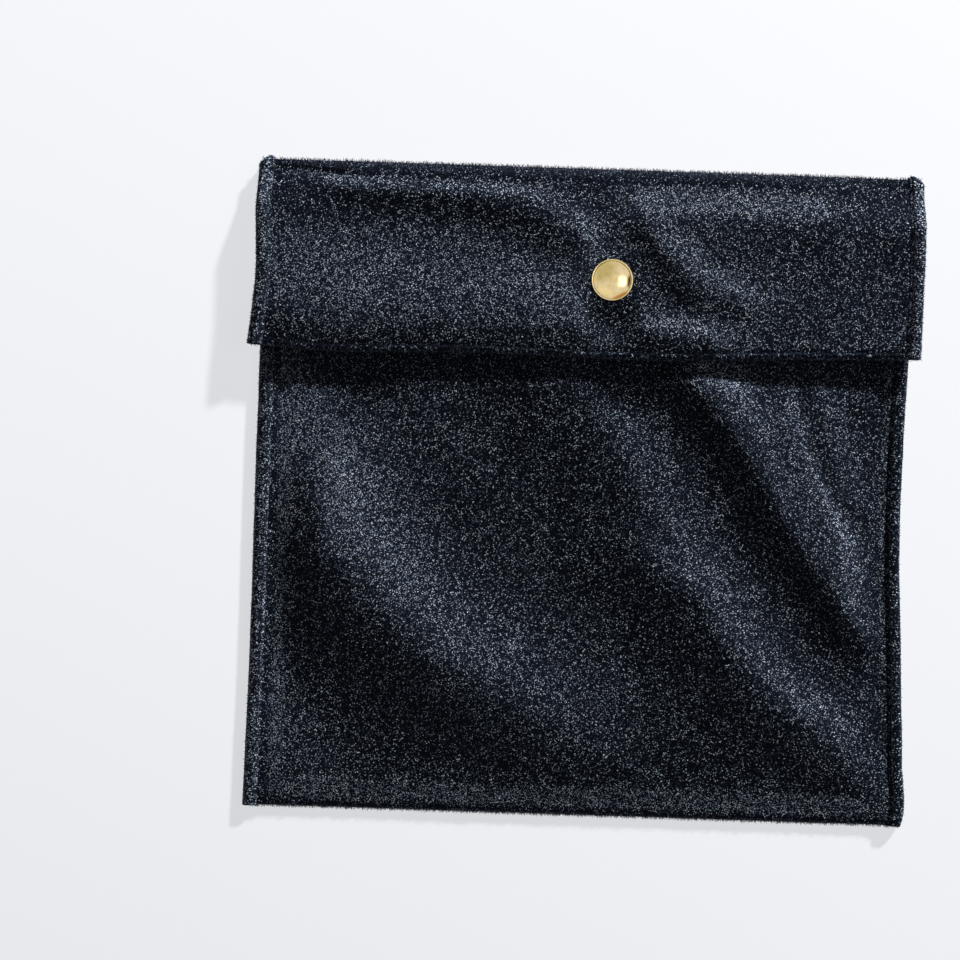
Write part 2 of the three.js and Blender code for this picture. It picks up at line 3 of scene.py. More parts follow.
import bpy
import numpy as np
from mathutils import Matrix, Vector


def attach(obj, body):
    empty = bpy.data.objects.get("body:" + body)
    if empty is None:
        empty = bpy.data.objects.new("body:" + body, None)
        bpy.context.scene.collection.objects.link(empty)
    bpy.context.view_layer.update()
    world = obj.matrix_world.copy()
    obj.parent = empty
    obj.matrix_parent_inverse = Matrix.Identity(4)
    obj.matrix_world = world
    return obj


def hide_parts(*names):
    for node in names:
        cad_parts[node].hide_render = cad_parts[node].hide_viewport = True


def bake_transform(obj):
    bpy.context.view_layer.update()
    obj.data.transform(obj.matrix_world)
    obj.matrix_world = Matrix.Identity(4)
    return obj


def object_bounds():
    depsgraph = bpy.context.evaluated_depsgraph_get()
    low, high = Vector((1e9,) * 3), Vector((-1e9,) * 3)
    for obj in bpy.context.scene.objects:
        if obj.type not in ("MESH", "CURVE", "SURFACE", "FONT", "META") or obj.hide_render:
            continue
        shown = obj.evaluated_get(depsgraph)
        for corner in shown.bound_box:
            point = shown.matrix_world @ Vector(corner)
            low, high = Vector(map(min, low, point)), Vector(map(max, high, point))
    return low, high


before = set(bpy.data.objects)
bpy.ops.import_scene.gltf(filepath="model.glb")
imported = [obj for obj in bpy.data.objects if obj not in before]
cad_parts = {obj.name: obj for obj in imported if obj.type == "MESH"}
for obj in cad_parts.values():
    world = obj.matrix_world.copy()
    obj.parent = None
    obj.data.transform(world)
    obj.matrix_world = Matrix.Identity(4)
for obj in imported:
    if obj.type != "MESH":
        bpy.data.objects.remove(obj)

# Envelope pouch of navy pile cloth, lying on its back with the flap pressed shut.
# Shapes are worked out in millimetres and turned to metres when a mesh is made.
MM = 0.001
CAD_BOX = [list(corner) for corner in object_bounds()]

# Cloth, tape and sewing
CLOTH = 1.6
TAPE = 0.9
TAPE_WIDTH = 5.0
GAP = 0.3
FOOT = TAPE + GAP
DOUBLED = CLOTH + GAP
HEM_STITCH_UP = 2.5
HEM_STITCH_WIDTH = 0.55
HEM_STITCH_DEPTH = 0.35
SEAM_SUNK = 0.22
HEM_DEPTH = 5.3
LIFT_RUN = 4.0
TURN_RADIUS = 0.95
SIDE_FOLD_RADIUS = 3.0
FOLD_LINE = 4.2
FOLD_TOP = 13.4
SIDE_FOLD_TOP = 6.55
FOLD_DEPTH = 5.2
SIDE_FOLD_DEPTH = 2.6
FOLD_RUN = 35.0

# Outline, from the box round the solids
FLAP_HALF = round(CAD_BOX[1][0] / MM, 1)
FLAP_OVERHANG = 2.0
BODY_HALF = FLAP_HALF - FLAP_OVERHANG
BOTTOM_Y = round(CAD_BOX[0][1] / MM, 1)
FOLD_Y = round(CAD_BOX[1][1] / MM, 1) - FOOT
SIDE_FOLD_Y = FOLD_Y - SIDE_FOLD_RADIUS
MOUTH_BELOW_FOLD = 22.0
MOUTH_Y = FOLD_Y - MOUTH_BELOW_FOLD
FLAP_DEPTH = 70.0
HEM_Y = FOLD_Y - FLAP_DEPTH
HEM_STITCH_Y = HEM_Y + HEM_STITCH_UP

# How the cloth stands up, and the runs over which it does
POCKET_PUFF = 4.4
MOUTH_PUFF = 2.2
PUFF_RUN = 70.0
EDGE_RUN = 11.0
EDGE_PART = 0.55
MOUTH_RUN = 30.0
SIDE_SETTLE_RUN = 22.0
SETTLE_RUN = 20.0
PRESSED = 0.8
PRESS_BELOW = 13.0
PRESS_ABOVE = 7.0
FLAP_LEVEL = 14.6
SIDE_DROOP = 1.2
DROOP_RUN = 50.0
HEM_DROOP = 0.2
FLAP_RISE_RUN = 18.0
FOLD_CLEAR = 7.0

# The press snap and the flat cloth round it
SNAP_X = 8.0
SNAP_UP = 28.5
SNAP_Y = HEM_Y + SNAP_UP
SNAP_FLAT = 8.0
SNAP_SEAT = 24.0
SNAP_FRONT = 8.3
SNAP_FLAP = 14.2

# Folds: points along the crest, height, widths of the lit and the dark side, and how long the ends fade
FRONT_FOLDS = [
    dict(points=[(-104, 0), (-96, -20), (-82, -40), (-62, -60), (-45, -75), (-27, -90)],
         height=3.8, lit=24, dark=24, ends=(60, 70)),
    dict(points=[(-18, 60), (-4, 40), (8, 20), (20, 0), (28, -12), (40, -30)],
         height=1.4, lit=11, dark=24, ends=(40, 24)),
    dict(points=[(28, -24), (42, -40), (56, -57), (72, -75), (88, -88), (106, -101)],
         height=2.3, lit=12, dark=18, ends=(50, 30)),
    dict(points=[(28, 60), (45, 35), (57, 20), (69, 0), (83, -20), (99, -40), (114, -58)],
         height=3.6, lit=16, dark=9, ends=(20, 30)),
    dict(points=[(80, 60), (88, 30), (97, 10), (106, -6)], height=0.8, lit=8, dark=7, ends=(14, 20)),
    dict(points=[(68, 60), (76, 26), (87, 2), (97, -16), (106, -32)],
         height=0.7, lit=4, dark=6, ends=(14, 20)),
]
FLAP_FOLDS = [
    dict(points=[(-104, 114), (-80, 112), (-40, 108), (-20, 102), (-8, 95), (2, 88)],
         height=1.2, lit=7, dark=10, ends=(40, 10)),
    dict(points=[(-125, 63), (-80, 62), (-50, 61), (-20, 61), (4, 61)],
         height=1.1, lit=24, dark=12, ends=(20, 16)),
    dict(points=[(18, 95), (26, 88), (38, 78), (58, 70)],
         height=0.75, lit=7, dark=8, ends=(10, 16)),
    dict(points=[(16, 60), (30, 58), (48, 56)], height=0.85, lit=6, dark=6, ends=(12, 12)),
]

# Strokes of painted light and shade, written as pile brushed towards the key light, or away from it where
# the height is under 0: they tilt the normals and lighten or darken the colour
FRONT_PAINTED_LIGHT = [
    dict(points=[(-106, 46), (-100, 26), (-92, 6), (-80, -14), (-62, -34)],
         height=0.02, lit=18, dark=12, ends=(36, 30)),
    dict(points=[(-107, 48), (-101, 28), (-93, 8), (-83, -8)], height=0.075, lit=22, dark=13, ends=(36, 16)),
    dict(points=[(-100, -26), (-84, -42), (-62, -60), (-40, -76), (-14, -96)],
         height=-0.02, lit=9, dark=9, ends=(14, 20)),
    dict(points=[(34, 36), (46, 20), (58, 0), (71, -20), (87, -40), (104, -62)],
         height=-0.04, lit=6, dark=6, ends=(20, 14)),
    dict(points=[(-114, 50), (-113, 20), (-109, -6), (-100, -26)],
         height=0.09, lit=6, dark=7, ends=(24, 14)),
    dict(points=[(-113, -20), (-112, -100)], height=0.06, lit=5, dark=6),
    dict(points=[(-108, -70), (-98, -112)], height=0.05, lit=16, dark=12),
    dict(points=[(30, -78), (46, -108)], height=-0.04, lit=18, dark=16),
    dict(points=[(74, 46), (88, 22), (102, 0), (110, -16)], height=0.05, lit=11, dark=9),
    dict(points=[(74, -80), (94, -94), (116, -108)], height=0.06, lit=7, dark=6, ends=(16, 16)),
    # Painted shadow of the flap's hem on the front, in three lobes
    dict(points=[(-99, 45), (-80, 37), (-63, 43)], height=-0.3, lit=12, dark=4, ends=(10, 10), down=False),
    dict(points=[(-44, 44), (-30, 41), (-14, 44)], height=-0.2, lit=12, dark=3, ends=(10, 10), down=False),
    dict(points=[(-1, 44), (14, 35), (30, 42)], height=-0.3, lit=12, dark=4, ends=(10, 10), down=False),
]
FLAP_PAINTED_LIGHT = [
    dict(points=[(-116, 78), (-80, 76), (-40, 74), (0, 74)],
         height=0.055, lit=16, dark=14, ends=(30, 10), down=False),
    dict(points=[(-26, 113), (-14, 108), (-4, 100), (4, 94)],
         height=0.03, lit=7, dark=6, ends=(12, 8), down=False),
    dict(points=[(24, 96), (34, 90), (42, 82)], height=0.05, lit=6, dark=6, ends=(8, 8), down=False),
    dict(points=[(42, 79), (54, 75), (70, 73)], height=0.06, lit=4, dark=5, ends=(10, 10), down=False),
    dict(points=[(20, 60), (40, 59), (62, 57)], height=0.05, lit=5, dark=5, ends=(12, 12), down=False),
    dict(points=[(56, 94), (90, 92), (122, 93)], height=-0.03, lit=8, dark=14, down=False),
    # Painted highlight below the top fold
    dict(points=[(10, 107), (60, 106), (118, 106)], height=0.20, lit=6, dark=6, down=False),
    # Painted shadow of the snap cap on the flap
    dict(points=[(0, 65), (8, 65), (17, 66)], height=-0.2, lit=4, dark=5, ends=(6, 6), down=False),
]

# How far the edges lie from straight lines: along the edge, and out from it
RIGHT_EDGE = [
    (-121, 1.2), (-117, 2.2), (-98, 1.4), (-58, -0.3), (-25, -2.0),
    (19, -2.1), (47, -1.3), (80, -0.4), (119, 0),
]
LEFT_EDGE = [(-120, 1.4), (-106, 1.2), (-60, 0.6), (0, 0.6), (60, 0.4), (119, 0)]
FLAP_LEFT_EDGE = [(49, 2.2), (60, 1.0), (73, 0.0), (102, 0.6), (119, 0.4)]
FLAP_RIGHT_EDGE = [(49, -0.6), (73, -0.3), (119, -0.2)]
HEM_EDGE = [(-124, 0.9), (-90, -0.9), (-68, -0.2), (-31, 0.3), (8, -0.3), (37, -0.1), (66, 1.2), (125, 3.2)]

# The cloth this near to the middle stays straight
WANDER_FROM = 40.0

# Small random lumps in the cloth, as height and size, and where each run of random numbers starts
LUMPS = [(0.12, 9), (0.05, 4), (0.03, 2)]
LATTICE = 512
FRONT_SEED = 11
FLAP_SEED = 31
TAPE_SEED = 71
TAPE_FIBRE_SEED = 50

# How the pile lies where no stroke is painted, as slopes along X and Y, and what folds, edges and tufts do
# to it
# A lean from the key light also darkens the colour: the folds' share paints light and shade on their flanks,
# the edges' share paints out the light and shade of their slopes, and FOLD_LEAN paints shade on the top fold
FRONT_LEAN = (-0.269, -0.392)
FLAP_LEAN = (-0.235, -0.352)
FOLD_LEAN = (-0.42, -0.72)
TAPE_LEAN = (-0.25, -0.37)
TOWARDS_LIGHT = (0.64, 0.94)
FOLDS_LEAN = 0.65
EDGES_LEAN = 0.97
GLINT = 0.6

# How far the pile is darkened, partly parted so that its dark roots show and partly painted shade in folds,
# grooves, the bottom edge and under the hems, and how much brightness full darkening leaves
MOUTH_PARTING_AND_SHADE = 0.3
FRONT_FOOT_PARTING_AND_SHADE = 0.5
FRONT_FOOT = (1.0, 4.0)
BOTTOM_PARTING_AND_SHADE = 0.7
FOLD_BACK_PARTING_AND_SHADE = 0.4
FOLD_FRONT_PARTING_AND_SHADE = 0.5
GROOVE_PARTING_AND_SHADE = 0.85
HEM_TURN_PARTING_AND_SHADE = 0.4
HEM_PARTING_AND_SHADE = 0.5
PARTED_AND_SHADED_LEFT = 0.12

# Pile: the sizes of a tuft, a clump, a patch and the relief's lumps, and how much clumps and patches vary
TUFT = 0.26
CLUMP = 2.2
CLUMP_VARIES = (0.7, 1.3)
PATCH = 9.0
PATCH_VARIES = (0.8, 1.2)
PILE_RELIEF = 1.6
NOISE_SPAN = (0.3, 0.7)

# The further the pile leans from the key light, the higher the power that leaves few tufts bright, which
# paints shade into the colour
TUFT_LEANS = (0.30, 0.52)
TUFT_POWERS = (11.0, 30.0)

# Colours, from the deepest to the palest
# The pile's palest tufts are partly paler tips and partly painted glints of single fibres
PILE_COLOURS = [(0.0, (0.0098, 0.0128, 0.0225)), (0.27, (0.275, 0.34, 0.475)), (0.8, (0.80, 0.90, 1.0))]
PILE_SHEEN = (0.62, 0.70, 0.92, 1)
FIBRE_COLOURS = [(0.0, (0.005, 0.0065, 0.011)), (0.8, (0.022, 0.027, 0.042)), (1.0, (0.26, 0.30, 0.38))]
THREAD_COLOURS = [(0.3, (0.003, 0.0035, 0.006)), (0.7, (0.010, 0.012, 0.018))]
BRASS_COLOURS = [(0.3, (0.74, 0.55, 0.24)), (0.5, (0.84, 0.665, 0.35)), (0.7, (0.88, 0.72, 0.44))]
BRASS_ROUGHNESS = (0.12, 0.22)
STEEL_COLOURS = [(0.3, (0.36, 0.36, 0.37)), (0.7, (0.55, 0.55, 0.56))]

# How finely the meshes are divided
CLOTH_COLUMNS = 200
FRONT_ROWS = 190
BACK_ROWS = 90
FLAP_ROWS = 128
FOLD_ROWS = 12
TURN_ROWS = 8
HEM_ROWS = 4
SEAM_PLACES = 400
TUBE_REFERENCE = (0.12, 0.23, 0.97)
CLOTH_HALF = BODY_HALF - FOOT
COLUMNS = np.linspace(-CLOTH_HALF, CLOTH_HALF, CLOTH_COLUMNS)[:, None]

# Stitches
STITCH_PITCH = 3.2
STITCH_LENGTH = 2.4
STITCH_DIP = 0.35
STITCH_RINGS = 7
THREAD_RADIUS = 0.24
THREAD_TAPER = 0.9
THREAD_SIDES = 8
SEAM_MARGIN = 1.0
SEAM_X = np.linspace(TAPE_WIDTH + SEAM_MARGIN - BODY_HALF, BODY_HALF - TAPE_WIDTH - SEAM_MARGIN, SEAM_PLACES)

# Tape bound over the side edges
TAPE_OUTER = 0.45
TAPE_ROUND = 1.5
TAPE_ARM_ROWS = 9
TAPE_TURN_ROWS = 20
TAPE_STEP = 0.3
TAPE_SINK = 0.3
TAPE_INNER = 1.3
TAPE_THINNED = 0.8
TAPE_PITCH = 1.15
TAPE_SCALLOP = 0.05
TAPE_WAVE_INSETS = (4.5, 0.8)
TAPE_WANDER = 0.15
TAPE_WANDER_SIZE = 6.0
TAPE_WANDER_ROW = 3.0
TAPE_END = 3.2
TAPE_END_ROUND = 0.97
TAPE_BULGE = 0.6
TAPE_BULGE_AT = 0.3
TAPE_BULGE_RUN = 0.5
TAPE_STEP_RUN = 3.0
TAPE_TILT_RUN = 6.0
STITCH_INSET = 4.0
POCKET_SEAM = 0.12
FLAP_SEAM = 0.3
SEAM_WIDTH = 0.55
SEAM_SHADE = 0.6
UV_APART = 500

# Loose fibres, and the folds and edges that they stand off
FIBRE_THICKNESS = 0.065
FIBRE_SUNK = 0.3
FIBRE_SCATTER = 0.5
FIBRE_SPREAD = 0.75
FIBRE_CURL = 0.7
FIBRE_VARIES = (0.7, 1.3)
FIBRE_TAPER = (1.0, 0.9, 0.4)
FIBRE_DARKER = 1.5
FIBRE_SIDES = 4
TOP_FRINGE = dict(name="fibres_top_fold", count=7000, lengths=(0.5, 1.5), seed=15)
TOP_FRINGE_PLACE = dict(edge_y=FOLD_Y, outward=1, reach=5, above=5, facing=0.3)
HEM_FRINGE = dict(name="fibres_flap_hem", count=3600, lengths=(0.5, 1.2), seed=15)
HEM_FRINGE_PLACE = dict(edge_y=HEM_Y, outward=-1, reach=5, above=9, facing=0.2)
BOTTOM_FRINGE = dict(name="fibres_bottom_fold", count=6000, lengths=(0.5, 1.4), seed=18)
BOTTOM_FRINGE_PLACE = dict(edge_y=BOTTOM_Y, outward=-1, reach=2, above=-1, facing=0.3)
TAPE_FRINGE = dict(count=1600, lengths=(0.3, 0.7))
TAPE_FRINGE_FACING = 0.5

# The press snap's cap: a dome inside a rolled rim, on the post that goes through the flap
CAP_SEGMENTS = 128
CAP_BASE = SNAP_FLAP + CLOTH / 2 + GAP
CAP_RADIUS = 7.6
RIM_RADIUS = 0.27
RIM_START = 0.78 * math.pi
RIM_RINGS = 18
DOME_RADIUS = 7.12
DOME_LIFT = 0.42
DOME_FOOT = CAP_BASE + DOME_LIFT
DOME_RISE = 2.3
DOME_TURN = 1.3
DOME_START = 0.02
DOME_RINGS = 26
POST_RADIUS = 2.2
POST_FLARE = 0.6
POST_LIP = 0.4
POST_MIDDLE = POST_RADIUS / 8
SOCKET_PLATE = 0.6
POST_END = SNAP_FLAP - CLOTH / 2 - GAP - SOCKET_PLATE - GAP - POST_LIP

# Table, light and camera, in metres and degrees
TABLE_HALF = 3.0
TABLE_GLOW = (0.93, 0.944, 0.982, 1)
# Painted falloff of light: the table's glow runs from low to high along a slanted line
TABLE_LIGHT_FALLOFF = dict(low=-0.243, high=0.224, to_low=0.89, to_high=1.043)
TABLE_LIGHT_FALLOFF_SLANT = 1 / 3
TABLE_SHADED = 0.24
TABLE_PLAIN = (0.86, 0.865, 0.88, 1)
KEY_AZIMUTH = 56.0
KEY_ELEVATION = 28.5
KEY_DISTANCE = 4.5
KEY_SIZE = 0.36
KEY_LEVEL = 0.89
FILL_LEVEL = 0.012
WINDOW_TOWARDS = (0.54, 0.035, 0.84)
WINDOW_DISTANCE = 2.0
WINDOW_SIZE = (0.86, 0.95)
WINDOW_BRIGHTNESS = 1.7
VIEW_CENTRE = (-37.8 * MM, 2.75 * MM)
VIEW_LEVEL = 12 * MM
VIEW_WIDTH = 351.4 * MM
VIEW_LENS = 85.0
VIEW_SENSOR = 36.0
VIEW_TURN = 1.9

# How softly the zones of the room fade out, and their half size along Z, so long that only X and Y count
ZONE_FADE = (0.7, 1.3)
ZONE_TALL = 50

# What polished metal sees of the room: the direction's X and Y, half sizes, turn in degrees, and the colour
ROOM_LIGHT = (0.86, 0.86, 0.86, 1)
ROOM_PLAIN = (0.97, 0.98, 1.0, 1)
ROOM_ZONES = [
    ((-0.36, 0.50), (0.62, 0.44), 40, (0.62, 0.61, 0.46)),
    ((-0.31, -0.55), (0.40, 0.24), -20, (0.98, 0.95, 0.80)),
    ((0.55, 0.03), (0.22, 0.32), 0, (1.0, 1.0, 1.0)),
    ((0.91, 0.02), (0.085, 0.30), 0, (0.03, 0.02, 0.01)),
    ((0.48, -0.80), (0.46, 0.10), 34, (0.60, 0.34, 0.14)),
]


def smooth(start, end, value):
    t = np.clip((value - start) / (end - start), 0, 1)
    return t * t * (3 - 2 * t)


def mix(a, b, share):
    return a + (b - a) * share


# Vectors from their parts, which may have different but fitting shapes.
def joined(*parts):
    return np.stack(np.broadcast_arrays(*parts), axis=-1)


def unit(vectors):
    return vectors / np.linalg.norm(vectors, axis=-1, keepdims=True)


# A smooth curve value(t) through (t, value) points, straight beyond its ends.
def through(points, t):
    at, value = np.array(sorted(points), float).T
    slope = np.gradient(value, at)
    inside = np.clip(t, at[0], at[-1])
    i = np.clip(np.searchsorted(at, inside, side="right") - 1, 0, len(at) - 2)
    width = at[i + 1] - at[i]
    s = (inside - at[i]) / width
    curve = (
        value[i] * (1 + 2 * s) * (1 - s) ** 2
        + slope[i] * width * s * (1 - s) ** 2
        + value[i + 1] * s**2 * (3 - 2 * s)
        + slope[i + 1] * width * s**2 * (s - 1)
    )
    beyond = np.where(t < at[0], slope[0] * (t - at[0]), np.where(t > at[-1], slope[-1] * (t - at[-1]), 0))
    return curve + beyond


# Height of one soft fold, which falls off narrowly or widely on its lit and its dark side.
def ridge(x, y, points, height, lit, dark, ends=(20, 20), down=True):
    line = [(b, a) for a, b in points] if down else points
    run, cross = (y, x) if down else (x, y)
    step = 0.5
    middle = through(line, run)
    slope = (through(line, run + step) - through(line, run - step)) / (2 * step)
    offset = (cross - middle) / np.sqrt(1 + slope**2)
    width = np.where(offset > 0, lit, dark)
    low, high = min(p[0] for p in line), max(p[0] for p in line)
    starts = smooth(low - ends[0] / 2, low + ends[0] / 2, run)
    stops = 1 - smooth(high - ends[1] / 2, high + ends[1] / 2, run)
    return height * starts * stops * np.exp(-((offset / width) ** 2))


# Smooth random unevenness between -1 and 1, with lumps of the given size.
def rumple(x, y, size, seed):
    lattice = np.random.RandomState(seed).uniform(-1, 1, (LATTICE, LATTICE))
    u, v = x / size + LATTICE / 2, y / size + LATTICE / 2
    i, j = np.floor(u).astype(int), np.floor(v).astype(int)
    s, t = smooth(0, 1, u - i), smooth(0, 1, v - j)
    low = mix(lattice[i, j], lattice[i + 1, j], s)
    high = mix(lattice[i, j + 1], lattice[i + 1, j + 1], s)
    return mix(low, high, t)


def unevenness(x, y, seed):
    return sum(height * rumple(x, y, size, seed + i) for i, (height, size) in enumerate(LUMPS))


# 1 under the tape and 0 inside it.
def edge_share(x):
    return 1 - smooth(TAPE_WIDTH, TAPE_WIDTH + LIFT_RUN, BODY_HALF - np.abs(x))


def lift(x):
    return FOOT * edge_share(x)


# Share of the way from the full top fold to the low one under the tape.
def side_share(x):
    return 1 - smooth(TAPE_WIDTH, TAPE_WIDTH + FOLD_RUN, BODY_HALF - np.abs(x))


def fold_depth(x):
    return mix(FOLD_DEPTH, SIDE_FOLD_DEPTH, side_share(x))


def fold_start(x):
    return FOLD_Y - CLOTH / 2 - fold_depth(x)


def fold_top(x):
    return mix(FOLD_TOP, SIDE_FOLD_TOP, side_share(x))


# Height round the top fold, which bends tightly under its middle line and fully above it.
def fold_height(x, turn):
    flat = lift(x) + CLOTH / 2
    below = flat + (FOLD_LINE - flat) * (1 + np.sin(turn))
    return np.where(turn < 0, below, mix(FOLD_LINE, fold_top(x), np.sin(turn)))


# 1 on the flat cloth round the snap and 0 well away from it.
def near_snap(x, y):
    return 1 - smooth(SNAP_FLAT * math.sqrt(2), SNAP_SEAT, np.hypot(x - SNAP_X, y - SNAP_Y))


# Slopes of a surface as its normal shows them: positive where it falls along X and along Y.
def falls(level, x, y):
    step = 0.4
    along_x = (level(x - step, y) - level(x + step, y)) / (2 * step)
    along_y = (level(x, y - step) - level(x, y + step)) / (2 * step)
    return joined(along_x, along_y)


# Lean of the pile: fuller folds, quieter edges, and the strokes of painted light and shade.
def lean_of(base, folds, edges, light_strokes, x, y):
    painted_light = sum(ridge(x, y, **stroke) for stroke in light_strokes)[..., None] * np.array(TOWARDS_LIGHT)
    return np.array(base) + FOLDS_LEAN * falls(folds, x, y) - EDGES_LEAN * falls(edges, x, y) + painted_light


# Distance in from the tape's inner edge.
def from_tape(x):
    return BODY_HALF - np.abs(x) - TAPE_WIDTH


def from_bottom(y):
    return y - BOTTOM_Y - TURN_RADIUS - CLOTH / 2


# Share of the full height in from the side and up from the bottom: a quick rise, then a slow one.
def puffed(side, bottom):
    slow = smooth(0, PUFF_RUN, side) * smooth(0, PUFF_RUN, bottom)
    quick = smooth(0, EDGE_RUN, side) * smooth(0, EDGE_RUN, bottom)
    return mix(slow, quick, EDGE_PART)


def front_edges(x, y):
    at_mouth = smooth(MOUTH_Y - MOUTH_RUN, MOUTH_Y, y)
    return lift(x) + (POCKET_PUFF + MOUTH_PUFF * at_mouth) * puffed(from_tape(x), from_bottom(y))


def front_folds(x, y):
    pressed = 1 - PRESSED * smooth(HEM_Y - PRESS_BELOW, HEM_Y + PRESS_ABOVE, y)
    settled = smooth(0, SIDE_SETTLE_RUN, from_tape(x)) * smooth(0, SETTLE_RUN, from_bottom(y)) * pressed
    return sum(ridge(x, y, **fold) for fold in FRONT_FOLDS) * settled


def front_level(x, y):
    lumps = unevenness(x, y, FRONT_SEED) * smooth(0, LIFT_RUN, from_tape(x))
    level = 1.5 * CLOTH + GAP + front_edges(x, y) + front_folds(x, y) + lumps
    return mix(level, SNAP_FRONT, near_snap(x, y))


def flap_edges(x, y):
    rise = smooth(0, FLAP_RISE_RUN, fold_start(x) - y)
    droop = SIDE_DROOP * smooth(BODY_HALF - DROOP_RUN, BODY_HALF, np.abs(x))
    hem_droop = HEM_DROOP * smooth(SNAP_Y - SNAP_FLAT, HEM_Y, y)
    return mix(fold_top(x), FLAP_LEVEL - droop - hem_droop, rise)


def flap_folds(x, y):
    across = sum(ridge(x, y, **fold, down=False) for fold in FLAP_FOLDS)
    return across * smooth(0, FOLD_CLEAR, fold_start(x) - y)


# Depth of the line of stitches that holds the flap's hem.
def hem_groove(x, y):
    inner = smooth(TAPE_WIDTH, TAPE_WIDTH + SEAM_MARGIN, BODY_HALF - np.abs(x))
    return inner * np.exp(-(((y - HEM_STITCH_Y) / HEM_STITCH_WIDTH) ** 2))


def flap_level(x, y):
    inner = smooth(0, LIFT_RUN, from_tape(x)) * smooth(0, FOLD_CLEAR, fold_start(x) - y)
    level = flap_edges(x, y) + flap_folds(x, y) + unevenness(x, y, FLAP_SEED) * inner
    return mix(level, SNAP_FLAP, near_snap(x, y)) - HEM_STITCH_DEPTH * hem_groove(x, y)


# X of a point of the plain body once its edges wander as real sewn edges do.
def body_x(x, y):
    out = np.where(x > 0, through(RIGHT_EDGE, y), -through(LEFT_EDGE, y))
    return x + out * smooth(WANDER_FROM, BODY_HALF, np.abs(x))


# The same for the wider flap, whose front edge wanders too.
def flap_place(x, y):
    out = np.where(x > 0, through(FLAP_RIGHT_EDGE, y), -through(FLAP_LEFT_EDGE, y))
    wide = x * FLAP_HALF / BODY_HALF + out * smooth(WANDER_FROM, BODY_HALF, np.abs(x))
    down = through(HEM_EDGE, wide) * (1 - smooth(HEM_Y, SNAP_Y, y))
    return wide, y + down


# Meshes

def signed_volume(points, faces):
    a, b, c, d = (points[faces[:, i]] for i in range(4))
    return float(np.sum(a * np.cross(b, c)) + np.sum(a * np.cross(c, d)))


def mesh_object(name, points, faces, uv=None, **attributes):
    points, faces = np.asarray(points), np.asarray(faces)
    if signed_volume(points, faces) < 0:
        faces = faces[:, ::-1]
    mesh = bpy.data.meshes.new(name)
    mesh.from_pydata((points * MM).tolist(), [], faces.tolist())
    mesh.polygons.foreach_set("use_smooth", np.ones(len(mesh.polygons), bool))
    if uv is not None:
        layer = mesh.uv_layers.new(name="cloth")
        layer.data.foreach_set("uv", (np.asarray(uv)[faces.ravel()] * MM).ravel())
    for key, values in attributes.items():
        layer = mesh.attributes.new(key, "FLOAT", "POINT")
        layer.data.foreach_set("value", np.asarray(values, np.float32).ravel())
    mesh.update()
    piece = bpy.data.objects.new(name, mesh)
    bpy.context.scene.collection.objects.link(piece)
    return piece


def grid_normals(points):
    return unit(np.cross(np.gradient(points, axis=0), np.gradient(points, axis=1)))


def grid_quads(columns, rows, first=0):
    i, j = np.mgrid[: columns - 1, : rows - 1]
    a = first + i * rows + j
    return np.stack([a, a + rows, a + rows + 1, a + 1], axis=2).reshape(-1, 4)


# Ring of quads between two lines of vertices.
def strip(a, b):
    return np.stack([a[:-1], b[:-1], b[1:], a[1:]], axis=1)


# A closed sheet about a grid of middle points, whose columns run along X and rows along the cloth.
def sheet_object(name, middle, thickness, uv, **attributes):
    columns, rows = middle.shape[:2]
    offset = grid_normals(middle) * np.broadcast_to(thickness, (columns, rows))[..., None] / 2
    points = np.concatenate([(middle + offset).reshape(-1, 3), (middle - offset).reshape(-1, 3)])
    count = columns * rows
    index = np.arange(count).reshape(columns, rows)
    under = index + count
    faces = np.concatenate([
        grid_quads(columns, rows),
        grid_quads(columns, rows, count)[:, ::-1],
        strip(under[:, 0], index[:, 0])[:, ::-1],
        strip(index[:, -1], under[:, -1])[:, ::-1],
        strip(index[0], under[0])[:, ::-1],
        strip(under[-1], index[-1])[:, ::-1],
    ])
    doubled = {key: np.tile(value.ravel(), 2) for key, value in attributes.items()}
    return mesh_object(name, points, faces, np.tile(uv.reshape(-1, 2), (2, 1)), **doubled)


def run_length(points):
    steps = np.linalg.norm(np.diff(points, axis=1), axis=2)
    return np.concatenate([np.zeros((len(points), 1)), np.cumsum(steps, axis=1)], axis=1)


# Walls between rings of vertices: the corners run along the given axis and the rings along the second.
def walls(index, axis):
    beside = np.roll(index, -1, axis=axis)
    return np.stack([index[:, :-1], beside[:, :-1], beside[:, 1:], index[:, 1:]], axis=-1).reshape(-1, 4)


# The corners of the quads that fill a ring.
def filling(sides):
    return [[0, k, k + 1, k + 2] for k in range(1, sides - 1, 2)]


# Closed tubes about rows of points, given as (tube, ring, xyz), with one radius for each ring.
def tubes(name, points, radius, sides, **attributes):
    along = unit(np.gradient(points, axis=1))
    across = unit(np.cross(along, TUBE_REFERENCE))
    other = np.cross(along, across)
    turn = np.linspace(0, 2 * math.pi, sides, endpoint=False)[:, None]
    ring = across[:, :, None] * np.cos(turn) + other[:, :, None] * np.sin(turn)
    skin = points[:, :, None] + ring * np.broadcast_to(radius, points.shape[:2])[:, :, None, None]
    index = np.arange(skin.size // 3).reshape(skin.shape[:3])
    faces = [walls(index, axis=2)]
    for corners in filling(sides):
        faces += [index[:, -1, corners], index[:, 0, corners[::-1]]]
    spread = {key: np.repeat(value, index[0].size) for key, value in attributes.items()}
    return mesh_object(name, skin.reshape(-1, 3), np.concatenate(faces), **spread)


# Materials

